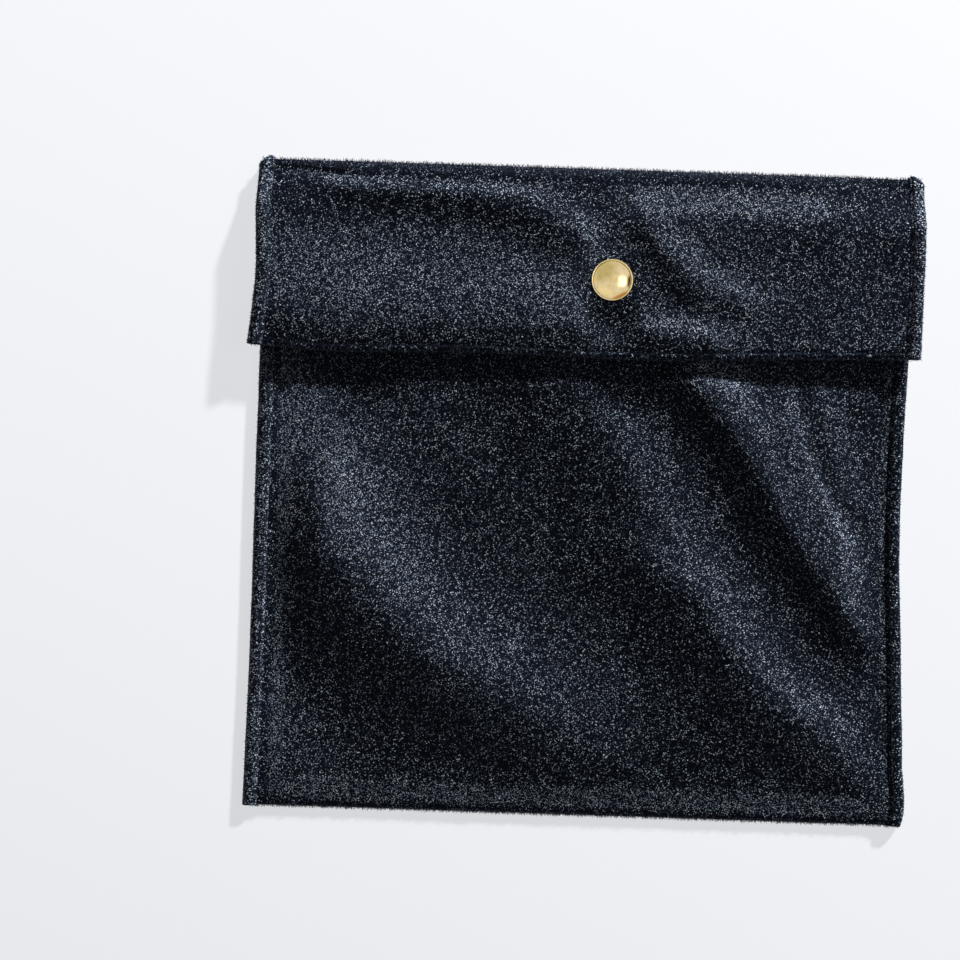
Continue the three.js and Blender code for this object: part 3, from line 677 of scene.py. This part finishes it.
class Nodes:
    def __init__(self, owner, shader="Principled BSDF"):
        owner.use_nodes = True
        self.owner = owner
        self.tree = owner.node_tree
        self.shader = self.tree.nodes[shader]

    # A new node with its settings and inputs. Inputs go by name, or by number as i0 or i1.
    def add(self, kind, settings=None, **inputs):
        node = self.tree.nodes.new(kind)
        for key, value in (settings or {}).items():
            setattr(node, key, value)
        for key, value in inputs.items():
            self.set(node, key, value)
        return node

    def set(self, node, key, value):
        numbered = key[0] == "i" and key[1:].isdigit()
        socket = node.inputs[int(key[1:]) if numbered else key.replace("_", " ")]
        if isinstance(value, bpy.types.NodeSocket):
            self.tree.links.new(value, socket)
        else:
            socket.default_value = value

    def attribute(self, name):
        return self.add("ShaderNodeAttribute", dict(attribute_name=name)).outputs["Fac"]

    def shade(self, **inputs):
        for key, value in inputs.items():
            self.set(self.shader, key, value)

    def math(self, operation, a, b, c=0.0, clamp=False):
        settings = dict(operation=operation, use_clamp=clamp)
        return self.add("ShaderNodeMath", settings, i0=a, i1=b, i2=c).outputs[0]

    def span(self, value, low, high, to_low, to_high):
        limits = dict(i1=low, i2=high, i3=to_low, i4=to_high)
        return self.add("ShaderNodeMapRange", None, i0=value, **limits).outputs[0]

    def noise(self, place, size, detail=2.0, rough=0.5, dimensions="2D"):
        look = dict(Scale=1 / (size * MM), Detail=detail, Roughness=rough)
        settings = dict(noise_dimensions=dimensions)
        return self.add("ShaderNodeTexNoise", settings, Vector=place, **look).outputs[0]

    # Noise through the whole piece, with lumps of the given size.
    def solid_noise(self, size, detail, rough=0.5):
        place = self.add("ShaderNodeTexCoord").outputs["Object"]
        return self.noise(place, size, detail, rough, "3D")

    def bump(self, height, strength, depth, **inputs):
        look = dict(Strength=strength, Distance=depth * MM, Height=height)
        return self.add("ShaderNodeBump", None, **look, **inputs).outputs[0]

    def colours(self, share, *stops):
        ramp = self.add("ShaderNodeValToRGB", None, Fac=share)
        elements = ramp.color_ramp.elements
        while len(elements) < len(stops):
            elements.new(0.5)
        for element, (place, colour) in zip(elements, stops):
            element.position = place
            element.color = (*colour, 1)
        return ramp.outputs[0]

    def blend(self, share, a, b):
        return self.add("ShaderNodeMix", dict(data_type="RGBA"), i0=share, i6=a, i7=b).outputs[2]


# How far the pile leans away from the key light, from 0 where it stands straight.
def leaning_away(m, lean_x, lean_y):
    azimuth = math.radians(KEY_AZIMUTH)
    return m.math("MULTIPLY_ADD", lean_x, -math.cos(azimuth), m.math("MULTIPLY", lean_y, -math.sin(azimuth)))


# The normal of pile that leans by the given slopes along the cloth's own X and Y.
def leaning_normal(m, slope_x, slope_y):
    slopes = m.add("ShaderNodeCombineXYZ", None, X=slope_x, Y=slope_y, Z=1.0).outputs[0]
    unit = m.add("ShaderNodeVectorMath", dict(operation="NORMALIZE"), i0=slopes).outputs[0]
    half = (0.5, 0.5, 0.5)
    settings = dict(operation="MULTIPLY_ADD")
    packed = m.add("ShaderNodeVectorMath", settings, i0=unit, i1=half, i2=half).outputs[0]
    return m.add("ShaderNodeNormalMap", dict(space="TANGENT", uv_map="cloth"), Color=packed).outputs[0]


# Short dense pile whose single tufts catch the light, painted as pale tufts in the colour, the brightest
# ones standing up straighter; fewer tufts turn pale where the pile leans from the key light, which paints
# shade
def pile_material(name):
    m = Nodes(bpy.data.materials.new(name))
    place = m.add("ShaderNodeUVMap", dict(uv_map="cloth")).outputs[0]
    cells = m.add("ShaderNodeTexVoronoi", dict(voronoi_dimensions="2D"), Vector=place, Scale=1 / (TUFT * MM))
    single = m.add("ShaderNodeSeparateColor", None, Color=cells.outputs["Color"]).outputs[0]
    clump = m.span(m.noise(place, CLUMP, detail=1.0), *NOISE_SPAN, *CLUMP_VARIES)
    patch = m.span(m.noise(place, PATCH, rough=0.55), *NOISE_SPAN, *PATCH_VARIES)
    lean_x, lean_y = m.attribute("lean_x"), m.attribute("lean_y")
    # Painted shade: the further the lean points from the key light, the fewer pale tufts
    away = leaning_away(m, lean_x, lean_y)
    bright = m.math("POWER", single, m.span(away, *TUFT_LEANS, *TUFT_POWERS))
    share = m.math("MULTIPLY", m.math("MULTIPLY", bright, clump), patch)
    # Parted pile and painted shade leave fewer pale tufts
    left = m.span(m.attribute("parted"), 0.0, 1.0, 1.0, PARTED_AND_SHADED_LEFT)
    share = m.math("MULTIPLY", share, left, clamp=True)
    colour = m.colours(share, *PILE_COLOURS)
    raised = m.math("MULTIPLY_ADD", bright, -GLINT, 1.0)
    leaning = leaning_normal(m, m.math("MULTIPLY", lean_x, raised), m.math("MULTIPLY", lean_y, raised))
    relief = m.math("ADD", single, m.noise(place, PILE_RELIEF))
    m.shade(Base_Color=colour, Roughness=0.92)
    m.shade(Normal=m.bump(relief, strength=0.5, depth=0.07, Normal=leaning))
    m.shade(Specular_IOR_Level=0.05, Sheen_Weight=0.04, Sheen_Roughness=0.45, Sheen_Tint=PILE_SHEEN)
    return m.owner


# Loose fibres, each with its own tone from nearly black to pale.
def fibre_material():
    m = Nodes(bpy.data.materials.new("pile_fibre"))
    m.shade(Base_Color=m.colours(m.attribute("tone"), *FIBRE_COLOURS), Roughness=0.8, Specular_IOR_Level=0.1)
    return m.owner


def thread_material():
    m = Nodes(bpy.data.materials.new("sewing_thread_dark"))
    wave = m.solid_noise(size=0.3, detail=2.0)
    m.shade(Base_Color=m.colours(wave, *THREAD_COLOURS), Normal=m.bump(wave, strength=0.5, depth=0.05))
    m.shade(Roughness=0.7, Specular_IOR_Level=0.2)
    return m.owner


def brass_material():
    m = Nodes(bpy.data.materials.new("polished_brass"))
    cloud = m.solid_noise(size=2.0, detail=5.0, rough=0.6)
    fine = m.solid_noise(size=0.22, detail=3.0)
    m.shade(Base_Color=m.colours(cloud, *BRASS_COLOURS), Normal=m.bump(fine, strength=0.12, depth=0.04))
    m.shade(Metallic=1.0, Roughness=m.span(cloud, *NOISE_SPAN, *BRASS_ROUGHNESS))
    return m.owner


def steel_material():
    m = Nodes(bpy.data.materials.new("spring_wire"))
    m.shade(Base_Color=m.colours(m.solid_noise(size=0.8, detail=3.0), *STEEL_COLOURS))
    m.shade(Metallic=1.0, Roughness=0.34)
    return m.owner


PILE = pile_material("pile_cloth")
TAPE_PILE = pile_material("pile_tape")
FIBRE = fibre_material()
THREAD = thread_material()
BRASS = brass_material()
STEEL = steel_material()


def finish_piece(piece, material, slot, *nodes):
    piece.data.materials.clear()
    piece.data.materials.append(material)
    if nodes:
        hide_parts(*nodes)
    return piece


def turn_with_flap(piece):
    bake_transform(piece)


# Sewing

# Single stitches along seams, which are rows of places and the way up from them.
def stitches(name, seams, node):
    rows = []
    for places, up in seams:
        at = np.concatenate([[0], np.cumsum(np.linalg.norm(np.diff(places, axis=0), axis=1))])
        starts = np.arange(STITCH_PITCH, at[-1] - STITCH_PITCH, STITCH_PITCH)
        share = np.linspace(-1, 1, STITCH_RINGS)
        where = starts[:, None] + (share + 1) * STITCH_LENGTH / 2
        point = np.stack([np.interp(where, at, places[:, k]) for k in range(3)], axis=-1)
        rise = np.stack([np.interp(where, at, up[:, k]) for k in range(3)], axis=-1)
        rows.append(point - rise * (STITCH_DIP * share**4)[:, None])
    radius = THREAD_RADIUS * np.sqrt(1 - THREAD_TAPER * np.linspace(-1, 1, STITCH_RINGS) ** 6)
    piece = tubes(name, np.concatenate(rows), radius[None, :], THREAD_SIDES)
    return finish_piece(piece, THREAD, "sewing_thread", node)


# Cloth

# The two faces of a seam across the pouch, at heights above and below its middle line.
def cross_seam(x, y, z, above, below):
    line = joined(x, y, z)
    up = np.broadcast_to([0.0, 0.0, 1.0], line.shape)
    return [(line + above * up, up), (line - below * up, -up)]


# One run of rows along the cloth: the places, how far the pile is darkened by parting and painted shade, and
# how it leans.
def section(x, y, z, parted, lean):
    places = joined(x, y, z)
    shape = places.shape[:2]
    return places, np.broadcast_to(parted, shape), np.broadcast_to(lean, (*shape, 2))


def cloth_piece(name, sections, *nodes):
    middle, parted, lean = (np.concatenate(part, axis=1) for part in zip(*sections))
    run = run_length(middle)
    uv = joined(COLUMNS, -run)
    piece = sheet_object(name, middle, CLOTH, uv, parted=parted, lean_x=lean[..., 0], lean_y=lean[..., 1])
    finish_piece(piece, PILE, "pile_cloth", *nodes)
    return piece, float(run[:, -1].mean())


def between(start, end, count):
    return np.linspace(start, end, count + 1)[None, 1:]


# From under the mouth's hem, over the mouth, down the front and round the bottom fold.
def pocket_front():
    x = COLUMNS
    hem = between(MOUTH_Y - HEM_DEPTH, MOUTH_Y - TURN_RADIUS, HEM_ROWS)
    turn = between(-math.pi / 2, math.pi / 2, TURN_ROWS)
    turn_y = MOUTH_Y - TURN_RADIUS + TURN_RADIUS * np.cos(turn)
    top = front_level(x, MOUTH_Y - TURN_RADIUS) - TURN_RADIUS
    low_y = BOTTOM_Y + TURN_RADIUS + CLOTH / 2
    down = between(MOUTH_Y - TURN_RADIUS, low_y, FRONT_ROWS)
    under = between(math.pi / 2, -math.pi / 2, FOLD_ROWS)
    under_y = low_y - TURN_RADIUS * np.cos(under)
    radius = (front_level(x, low_y) - lift(x) - CLOTH / 2) / 2
    under_z = lift(x) + CLOTH / 2 + radius * (1 + np.sin(under))
    # Parted pile and painted shade darken the front just above its bottom, the mouth's turn and the bottom
    # fold
    foot_parted = FRONT_FOOT_PARTING_AND_SHADE * (1 - smooth(*FRONT_FOOT, down - BOTTOM_Y))
    lean = lean_of(FRONT_LEAN, front_folds, front_edges, FRONT_PAINTED_LIGHT, x, down)
    sections = [
        section(body_x(x, hem), hem, front_level(x, hem) - DOUBLED, 0.0, FRONT_LEAN),
        section(body_x(x, turn_y), turn_y, top + TURN_RADIUS * np.sin(turn), MOUTH_PARTING_AND_SHADE, FRONT_LEAN),
        section(body_x(x, down), down, front_level(x, down), foot_parted, lean),
        section(body_x(x, under_y), under_y, under_z, BOTTOM_PARTING_AND_SHADE, FRONT_LEAN),
    ]
    piece, length = cloth_piece("pocket_front", sections, "front_panel", "opening_hem")
    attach(piece, "pocket")
    return piece, length


# Rows round the top fold at the given turns. Towards the fold's outer edge the pile leans from the key light
# and is parted, which paints shade on the fold.
def fold_section(x, turn, parted):
    y = fold_start(x) + fold_depth(x) * np.cos(turn)
    outward = np.sqrt(np.cos(turn)) + 0 * x
    lean = mix(np.array(FLAP_LEAN), np.array(FOLD_LEAN), outward[..., None])
    return section(flap_place(x, y)[0], y, fold_height(x, turn), parted * outward, lean)


# From the bottom up the back to the middle of the top fold.
def pocket_back():
    x = COLUMNS
    start_y = BOTTOM_Y + TURN_RADIUS + CLOTH / 2 + GAP
    y = mix(start_y, fold_start(x), np.linspace(0, 1, BACK_ROWS)[None, :])
    wide = smooth(MOUTH_Y, SIDE_FOLD_Y, y)
    # Parted pile and painted shade darken the back's half of the top fold
    sections = [
        section(mix(body_x(x, y), flap_place(x, y)[0], wide), y, lift(x) + CLOTH / 2, 0.0, FLAP_LEAN),
        fold_section(x, between(-math.pi / 2, 0, FOLD_ROWS), FOLD_BACK_PARTING_AND_SHADE),
    ]
    piece, length = cloth_piece("pocket_back", sections, "back_panel")
    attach(piece, "pocket")
    return piece, length


# From the middle of the top fold, down the flap and under its hem.
def flap():
    x = COLUMNS
    hem_y = HEM_Y + TURN_RADIUS + CLOTH / 2
    y = mix(fold_start(x), hem_y, between(0, 1, FLAP_ROWS))
    flap_x, flap_down = flap_place(x, y)
    hem_turn = between(math.pi / 2, -math.pi / 2, TURN_ROWS)
    edge_x, edge_down = flap_place(x, hem_y - TURN_RADIUS * np.cos(hem_turn))
    hem_z = flap_level(x, hem_y) - TURN_RADIUS * (1 - np.sin(hem_turn))
    under_y = between(hem_y, HEM_Y + HEM_DEPTH, HEM_ROWS)
    under_x, under_down = flap_place(x, under_y)
    lean = lean_of(FLAP_LEAN, flap_folds, flap_edges, FLAP_PAINTED_LIGHT, x, y)
    # Parted pile and painted shade darken the top fold, the hem's stitch groove, its turn and its underside
    sections = [
        fold_section(x, np.linspace(0, math.pi / 2, FOLD_ROWS + 1)[None, :], FOLD_FRONT_PARTING_AND_SHADE),
        section(flap_x, flap_down, flap_level(x, y), GROOVE_PARTING_AND_SHADE * hem_groove(x, y), lean),
        section(edge_x, edge_down, hem_z, HEM_TURN_PARTING_AND_SHADE, FLAP_LEAN),
        section(under_x, under_down, flap_level(x, under_y) - DOUBLED, HEM_PARTING_AND_SHADE, FLAP_LEAN),
    ]
    piece, length = cloth_piece("flap_cloth", sections, "flap_panel", "flap_hem")
    turn_with_flap(piece)
    return piece, length


# Tape

# Share of the way to the tape's inner edges, where it thins out onto the cloth.
def inner_edge(inset):
    return smooth(TAPE_WIDTH - TAPE_INNER, TAPE_WIDTH, inset)


# A dent along the tape's line of stitches, 1 deep.
def along_seam(inset, width):
    return np.exp(-(((inset - STITCH_INSET) / width) ** 2))


# The flat U of the tape, upper arm first: insets from the edge and heights about the guide line.
def tape_section(upper, lower, seam):
    round_x = np.sin(np.linspace(0, math.pi / 2, TAPE_ARM_ROWS))
    arm = np.linspace(TAPE_WIDTH, TAPE_OUTER + TAPE_ROUND, TAPE_ARM_ROWS)[:-1]
    inset = np.concatenate([arm, TAPE_OUTER + TAPE_ROUND * (1 - round_x)])
    fall = np.concatenate([np.zeros(TAPE_ARM_ROWS - 1), 1 - np.sqrt(1 - round_x**2)])
    groove = TAPE_SINK * inner_edge(inset) + seam * along_seam(inset, SEAM_WIDTH)
    top = upper * (1 - fall) - groove
    bottom = -lower * (1 - fall[::-1]) + groove[::-1]
    return np.concatenate([inset, inset[::-1][1:]]), np.concatenate([top, bottom[:, 1:]], axis=1)


# How far the tape's outer edge stands out: scalloped, wandering, and bulged before its round end.
def tape_edge(along, y, side):
    wave = TAPE_SCALLOP * np.sin(2 * math.pi * along / TAPE_PITCH)
    row = np.full_like(along, TAPE_WANDER_ROW)
    wander = TAPE_WANDER * rumple(along, row, TAPE_WANDER_SIZE, TAPE_SEED + side)
    end = np.clip((y - FOLD_Y - SIDE_FOLD_DEPTH + SIDE_FOLD_RADIUS + TAPE_END) / TAPE_END, 0, 1)
    bulge = TAPE_BULGE * np.exp(-(((end - TAPE_BULGE_AT) / TAPE_BULGE_RUN) ** 2))
    return wave + wander + bulge - TAPE_END * (1 - np.sqrt(1 - TAPE_END_ROUND * end**2))


# One tape along its guide line, with its flat size and the lines of its stitches.
def tape_object(name, side, guide, upper, lower, seam, down, node):
    y, z, tilt, edge = guide
    rise = GAP / 2 + TAPE / 2
    inset, height = tape_section((upper + rise)[:, None], (lower + rise)[:, None], seam)
    along = np.concatenate([[0], np.cumsum(np.hypot(np.diff(y), np.diff(z)))])
    out = tape_edge(along, y, side)[:, None] * smooth(*TAPE_WAVE_INSETS, inset)[None, :]
    x = side * (edge[:, None] - inset[None, :] + out)
    rise_y, rise_z = -height * np.sin(tilt)[:, None], height * np.cos(tilt)[:, None]
    places = joined(x, y[:, None] + rise_y, z[:, None] + rise_z)
    ends = 1 - TAPE_THINNED * inner_edge(inset)
    cross = np.cumsum(np.concatenate([[0], np.hypot(np.diff(inset), np.diff(height[0]))]))
    uv = joined(cross[None, :] + side * UV_APART, along[:, None])
    # Parted pile and painted shade darken the tape along its line of stitches
    shade = np.broadcast_to(2 * seam * along_seam(inset, SEAM_SHADE), places.shape[:2])
    lean_x = np.full(places.shape[:2], side * TAPE_LEAN[0])
    lean_y = np.full(places.shape[:2], -TAPE_LEAN[1] if down else TAPE_LEAN[1])
    piece = sheet_object(name, places, TAPE * ends[None, :], uv, parted=shade, lean_x=lean_x, lean_y=lean_y)
    finish_piece(piece, TAPE_PILE, "edge_tape", node)
    row = int(np.argmin(np.abs(inset[: len(inset) // 2] - STITCH_INSET)))
    up = joined(0, -np.sin(tilt), np.cos(tilt))
    seams = [(places[:, row] + up * TAPE / 2, up), (places[:, -1 - row] - up * TAPE / 2, -up)]
    return piece, (float(cross[-1]), float(along[-1])), seams


def pocket_tape(side, word):
    flat_y = np.arange(BOTTOM_Y, SIDE_FOLD_Y, TAPE_STEP)
    turn = np.linspace(0, math.pi / 2, TAPE_TURN_ROWS)[1:]
    y = np.concatenate([flat_y, SIDE_FOLD_Y + SIDE_FOLD_DEPTH * np.sin(turn)])
    z = np.concatenate([0 * flat_y, (FOLD_LINE - FOOT - CLOTH / 2) * (1 - np.cos(turn))]) + FOOT + CLOTH / 2
    tilt = np.concatenate([0 * flat_y, turn])
    edge_x = side * BODY_HALF
    edge = side * mix(body_x(edge_x, y), flap_place(edge_x, y)[0], smooth(MOUTH_Y, SIDE_FOLD_Y, y))
    step_y = MOUTH_Y + GAP
    upper = CLOTH / 2 + DOUBLED * (1 - smooth(step_y, step_y + TAPE_STEP_RUN, y))
    lower = CLOTH / 2 + 0 * y
    guide = (y, z, tilt, edge)
    name, node = f"pocket_tape_{word}", f"side_binding_{word}"
    piece, flat, seams = tape_object(name, side, guide, upper, lower, POCKET_SEAM, False, node)
    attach(piece, "pocket")
    sewn = stitches(f"pocket_side_stitches_{word}", seams, f"side_stitching_{word}")
    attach(sewn, "pocket")
    return piece, flat


def flap_tape(side, word):
    edge_x = side * CLOTH_HALF
    turn = np.linspace(0, math.pi / 2, TAPE_TURN_ROWS)[:-1]
    flat_y = np.arange(SIDE_FOLD_Y, HEM_Y, -TAPE_STEP)
    y = np.concatenate([SIDE_FOLD_Y + SIDE_FOLD_DEPTH * np.cos(turn), flat_y])
    level = flap_level(edge_x, flat_y)
    slope = np.gradient(level, flat_y)
    z = np.concatenate([mix(FOLD_LINE, SIDE_FOLD_TOP, np.sin(turn)), level])
    tilted = np.arctan(slope) * smooth(0, TAPE_TILT_RUN, SIDE_FOLD_Y - flat_y)
    tilt = np.concatenate([turn - math.pi / 2, tilted])
    wide, down = flap_place(side * BODY_HALF, y)
    step_y = HEM_Y + HEM_DEPTH + GAP
    upper = CLOTH / 2 + 0 * y
    lower = CLOTH / 2 + DOUBLED * (1 - smooth(step_y, step_y + TAPE_STEP_RUN, y))
    guide = (down, z, tilt, side * wide)
    name, node = f"flap_tape_{word}", f"flap_binding_{word}"
    piece, flat, seams = tape_object(name, side, guide, upper, lower, FLAP_SEAM, True, node)
    turn_with_flap(piece)
    sewn = stitches(f"flap_side_stitches_{word}", seams, f"flap_stitching_{word}")
    turn_with_flap(sewn)
    return piece, flat


# Loose fibres

# Fibres from the places of a piece where wanted(places, normals) holds.
def fringe(piece, wanted, name, count, lengths, seed):
    pick = np.random.RandomState(seed)
    mesh = piece.data
    places, normals = np.zeros((2, len(mesh.vertices) * 3))
    mesh.vertices.foreach_get("co", places)
    mesh.vertices.foreach_get("normal", normals)
    places, normals = places.reshape(-1, 3) / MM, normals.reshape(-1, 3)
    chosen = pick.choice(np.flatnonzero(wanted(places, normals)), count)
    scatter = pick.uniform(-FIBRE_SCATTER, FIBRE_SCATTER, (count, 3))
    root = places[chosen] + scatter * (1 - np.abs(normals[chosen]))
    first = unit(normals[chosen] + FIBRE_SPREAD * pick.normal(size=(count, 3)))
    second = unit(first + FIBRE_CURL * pick.normal(size=(count, 3)))
    length = pick.uniform(*lengths, (count, 1))
    middle = root + first * length / 2
    points = np.stack([root - normals[chosen] * FIBRE_SUNK, middle, middle + second * length / 2], axis=1)
    points[..., 2] = np.maximum(points[..., 2], 2 * FIBRE_THICKNESS)
    radius = FIBRE_THICKNESS * pick.uniform(*FIBRE_VARIES, (count, 1)) * np.array(FIBRE_TAPER)
    fibres = tubes(name, points, radius, FIBRE_SIDES, tone=pick.uniform(size=count) ** FIBRE_DARKER)
    return finish_piece(fibres, FIBRE, "pile_cloth")


# Picks places near the fold or edge at edge_y that lie above a height and face outward along Y.
def near_fold(edge_y, outward, reach, above, facing):
    def wanted(places, normals):
        near = outward * places[:, 1] > outward * edge_y - reach
        return near & (places[:, 2] > above) & (outward * normals[:, 1] > facing)

    return wanted


def on_tape_edge(places, normals):
    return np.abs(normals[:, 0]) > TAPE_FRINGE_FACING


def fringes(front, top, tapes):
    turn_with_flap(fringe(top, near_fold(**TOP_FRINGE_PLACE), **TOP_FRINGE))
    turn_with_flap(fringe(top, near_fold(**HEM_FRINGE_PLACE), **HEM_FRINGE))
    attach(fringe(front, near_fold(**BOTTOM_FRINGE_PLACE), **BOTTOM_FRINGE), "pocket")
    for number, (tape, body) in enumerate(tapes):
        seed = TAPE_FIBRE_SEED + number
        fibres = fringe(tape, on_tape_edge, name=f"fibres_{tape.name}", seed=seed, **TAPE_FRINGE)
        if body:
            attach(fibres, body)
        else:
            turn_with_flap(fibres)


# Hardware

# Radius and height from the dome's middle, over the rim and down the post.
def cap_profile():
    dome = np.linspace(DOME_START, DOME_TURN, DOME_RINGS)
    drop = (1 - np.cos(dome)) / (1 - math.cos(DOME_TURN))
    rim = np.linspace(RIM_START, -math.pi / 2, RIM_RINGS)
    rim_x = CAP_RADIUS - RIM_RADIUS
    profile = list(zip(DOME_RADIUS * np.sin(dome) / math.sin(DOME_TURN), DOME_FOOT + DOME_RISE * (1 - drop)))
    profile += [(rim_x + RIM_RADIUS * math.cos(t), CAP_BASE + RIM_RADIUS * (1 + math.sin(t))) for t in rim]
    return profile + [
        (POST_RADIUS, CAP_BASE),
        (POST_RADIUS, POST_END + 2 * POST_LIP),
        (POST_RADIUS + POST_FLARE, POST_END + POST_LIP / 2),
        (POST_RADIUS, POST_END),
        (POST_MIDDLE, POST_END),
    ]


def snap_cap():
    profile = cap_profile()
    turn = np.linspace(0, 2 * math.pi, CAP_SEGMENTS, endpoint=False)[:, None]
    radius, height = np.array(profile).T
    points = joined(SNAP_X + np.cos(turn) * radius, SNAP_Y + np.sin(turn) * radius, height)
    rows = len(profile)
    index = np.arange(CAP_SEGMENTS * rows).reshape(CAP_SEGMENTS, rows)
    faces = [walls(index, axis=0)]
    for corners in filling(CAP_SEGMENTS):
        faces += [index[corners[::-1], 0][None], index[corners, -1][None]]
    cap = mesh_object("snap_cap_polished", points.reshape(-1, 3), np.concatenate(faces))
    finish_piece(cap, BRASS, "snap_brass", "snap_cap")
    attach(cap, "flap")


# The metal that only shows when the flap is open keeps its solids and gets its materials.
def snap_metal():
    looks = dict(snap_socket=BRASS, snap_stud=BRASS, stud_rivet=BRASS, socket_spring=STEEL)
    for node, material in looks.items():
        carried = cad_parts[node].data.materials
        carried.clear()
        carried.append(material)


# The folded strip of cloth, in three pieces.
def cloth():
    front, front_length = pocket_front()
    back, back_length = pocket_back()
    top, top_length = flap()
    return front, back, top


# The four tapes, each with the body it rides on, or None for the two on the flap, which ride on no body.
def bindings():
    made = []
    for side, word in ((-1, "left"), (1, "right")):
        for make, body in ((pocket_tape, "pocket"), (flap_tape, None)):
            tape, (width, length) = make(side, word)
            made.append((tape, body))
    return made


def flap_hem_seam():
    y = np.full_like(SEAM_X, HEM_STITCH_Y)
    level = flap_level(SEAM_X, y)
    seams = cross_seam(*flap_place(SEAM_X, y), level, CLOTH / 2 - SEAM_SUNK, DOUBLED + CLOTH / 2)
    turn_with_flap(stitches("flap_hem_stitches", seams, "flap_hem_stitching"))


def mouth_seam():
    y = np.full_like(SEAM_X, MOUTH_Y - HEM_DEPTH + SEAM_MARGIN)
    level = front_level(SEAM_X, y)
    seams = cross_seam(body_x(SEAM_X, y), y, level, CLOTH / 2, DOUBLED + CLOTH / 2)
    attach(stitches("opening_stitches", seams, "opening_stitching"), "pocket")


# Surroundings

def show(name, data):
    shown = bpy.data.objects.new(name, data)
    bpy.context.scene.collection.objects.link(shown)
    return shown


# Where a ray from the camera, a mirror or glass meets the material itself.
def seen_directly(m):
    path = m.add("ShaderNodeLightPath").outputs
    mirrored = m.math("MAXIMUM", path["Is Glossy Ray"], path["Is Transmission Ray"])
    return m.math("MAXIMUM", path["Is Camera Ray"], mirrored)


# Pale, with a painted falloff of light that makes its glow a little darker towards the lower left, and with
# the pouch's shadow on it.
def table_material():
    m = Nodes(bpy.data.materials.new("pale_table"))
    m.tree.nodes.clear()
    axes = m.add("ShaderNodeSeparateXYZ", None, i0=m.add("ShaderNodeTexCoord").outputs["Object"]).outputs
    place = m.math("MULTIPLY_ADD", axes[0], TABLE_LIGHT_FALLOFF_SLANT, axes[1])
    glow = m.add("ShaderNodeEmission", None, Color=TABLE_GLOW, Strength=m.span(place, **TABLE_LIGHT_FALLOFF))
    plain = m.add("ShaderNodeBsdfDiffuse", None, Color=TABLE_PLAIN).outputs[0]
    shaded = m.add("ShaderNodeMixShader", None, i0=TABLE_SHADED, i1=glow.outputs[0], i2=plain).outputs[0]
    surface = m.add("ShaderNodeMixShader", None, i0=seen_directly(m), i1=plain, i2=shaded).outputs[0]
    m.add("ShaderNodeOutputMaterial", None, Surface=surface)
    return m.owner


def table():
    mesh = bpy.data.meshes.new("table_top")
    corners = [(TABLE_HALF * x, TABLE_HALF * y, 0) for x, y in ((-1, -1), (1, -1), (1, 1), (-1, 1))]
    mesh.from_pydata(corners, [], [(0, 1, 2, 3)])
    mesh.materials.append(table_material())
    show("table_top", mesh)


# Turns a lamp to shine from a direction on the origin.
def aim(lamp, towards, distance):
    towards = Vector(towards).normalized()
    lamp.location = towards * distance
    lamp.rotation_euler = towards.to_track_quat("Z", "Y").to_euler()


def key_light():
    azimuth, elevation = math.radians(KEY_AZIMUTH), math.radians(KEY_ELEVATION)
    level = math.cos(elevation)
    key = bpy.data.lights.new("key", "AREA")
    key.shape = "DISK"
    key.size = KEY_SIZE
    key.energy = KEY_LEVEL / math.sin(elevation) * math.pi**2 * KEY_DISTANCE**2
    towards = (level * math.cos(azimuth), level * math.sin(azimuth), math.sin(elevation))
    lamp = show("key", key)
    lamp.visible_glossy = False
    aim(lamp, towards, KEY_DISTANCE)


# A window that glints on the metal and adds a little light.
def window_light():
    window = bpy.data.lights.new("window", "AREA")
    window.shape = "RECTANGLE"
    window.size, window.size_y = WINDOW_SIZE
    window.energy = WINDOW_BRIGHTNESS * math.pi * WINDOW_SIZE[0] * WINDOW_SIZE[1]
    aim(show("window", window), WINDOW_TOWARDS, WINDOW_DISTANCE)


def room():
    m = Nodes(bpy.data.worlds.new("studio"), "Background")
    bpy.context.scene.world = m.owner
    direction = m.add("ShaderNodeTexCoord").outputs["Generated"]
    colour = ROOM_LIGHT
    for centre, halves, turn, tint in ROOM_ZONES:
        zone = dict(Location=(*centre, 0), Rotation=(0, 0, math.radians(turn)), Scale=(*halves, ZONE_TALL))
        place = m.add("ShaderNodeMapping", dict(vector_type="TEXTURE"), Vector=direction, **zone).outputs[0]
        far = m.add("ShaderNodeVectorMath", dict(operation="LENGTH"), i0=place).outputs["Value"]
        colour = m.blend(m.span(far, *ZONE_FADE, 1.0, 0.0), colour, (*tint, 1))
    mirrored = m.add("ShaderNodeLightPath").outputs["Is Glossy Ray"]
    level = m.span(seen_directly(m), 0, 1, FILL_LEVEL, 1.0)
    m.shade(Color=m.blend(mirrored, ROOM_PLAIN, colour), Strength=level)


def camera():
    lens = bpy.data.cameras.new("camera")
    lens.lens = VIEW_LENS
    lens.sensor_width = VIEW_SENSOR
    eye = show("camera", lens)
    eye.location = (*VIEW_CENTRE, VIEW_WIDTH * VIEW_LENS / VIEW_SENSOR + VIEW_LEVEL)
    eye.rotation_euler = (0, 0, math.radians(VIEW_TURN))
    bpy.context.scene.camera = eye


FRONT, BACK, FLAP = cloth()
TAPES = bindings()
flap_hem_seam()
mouth_seam()
fringes(FRONT, FLAP, TAPES)
snap_cap()
snap_metal()
table()
key_light()
window_light()
room()
camera()
bpy.context.scene.view_settings.view_transform = "Standard"
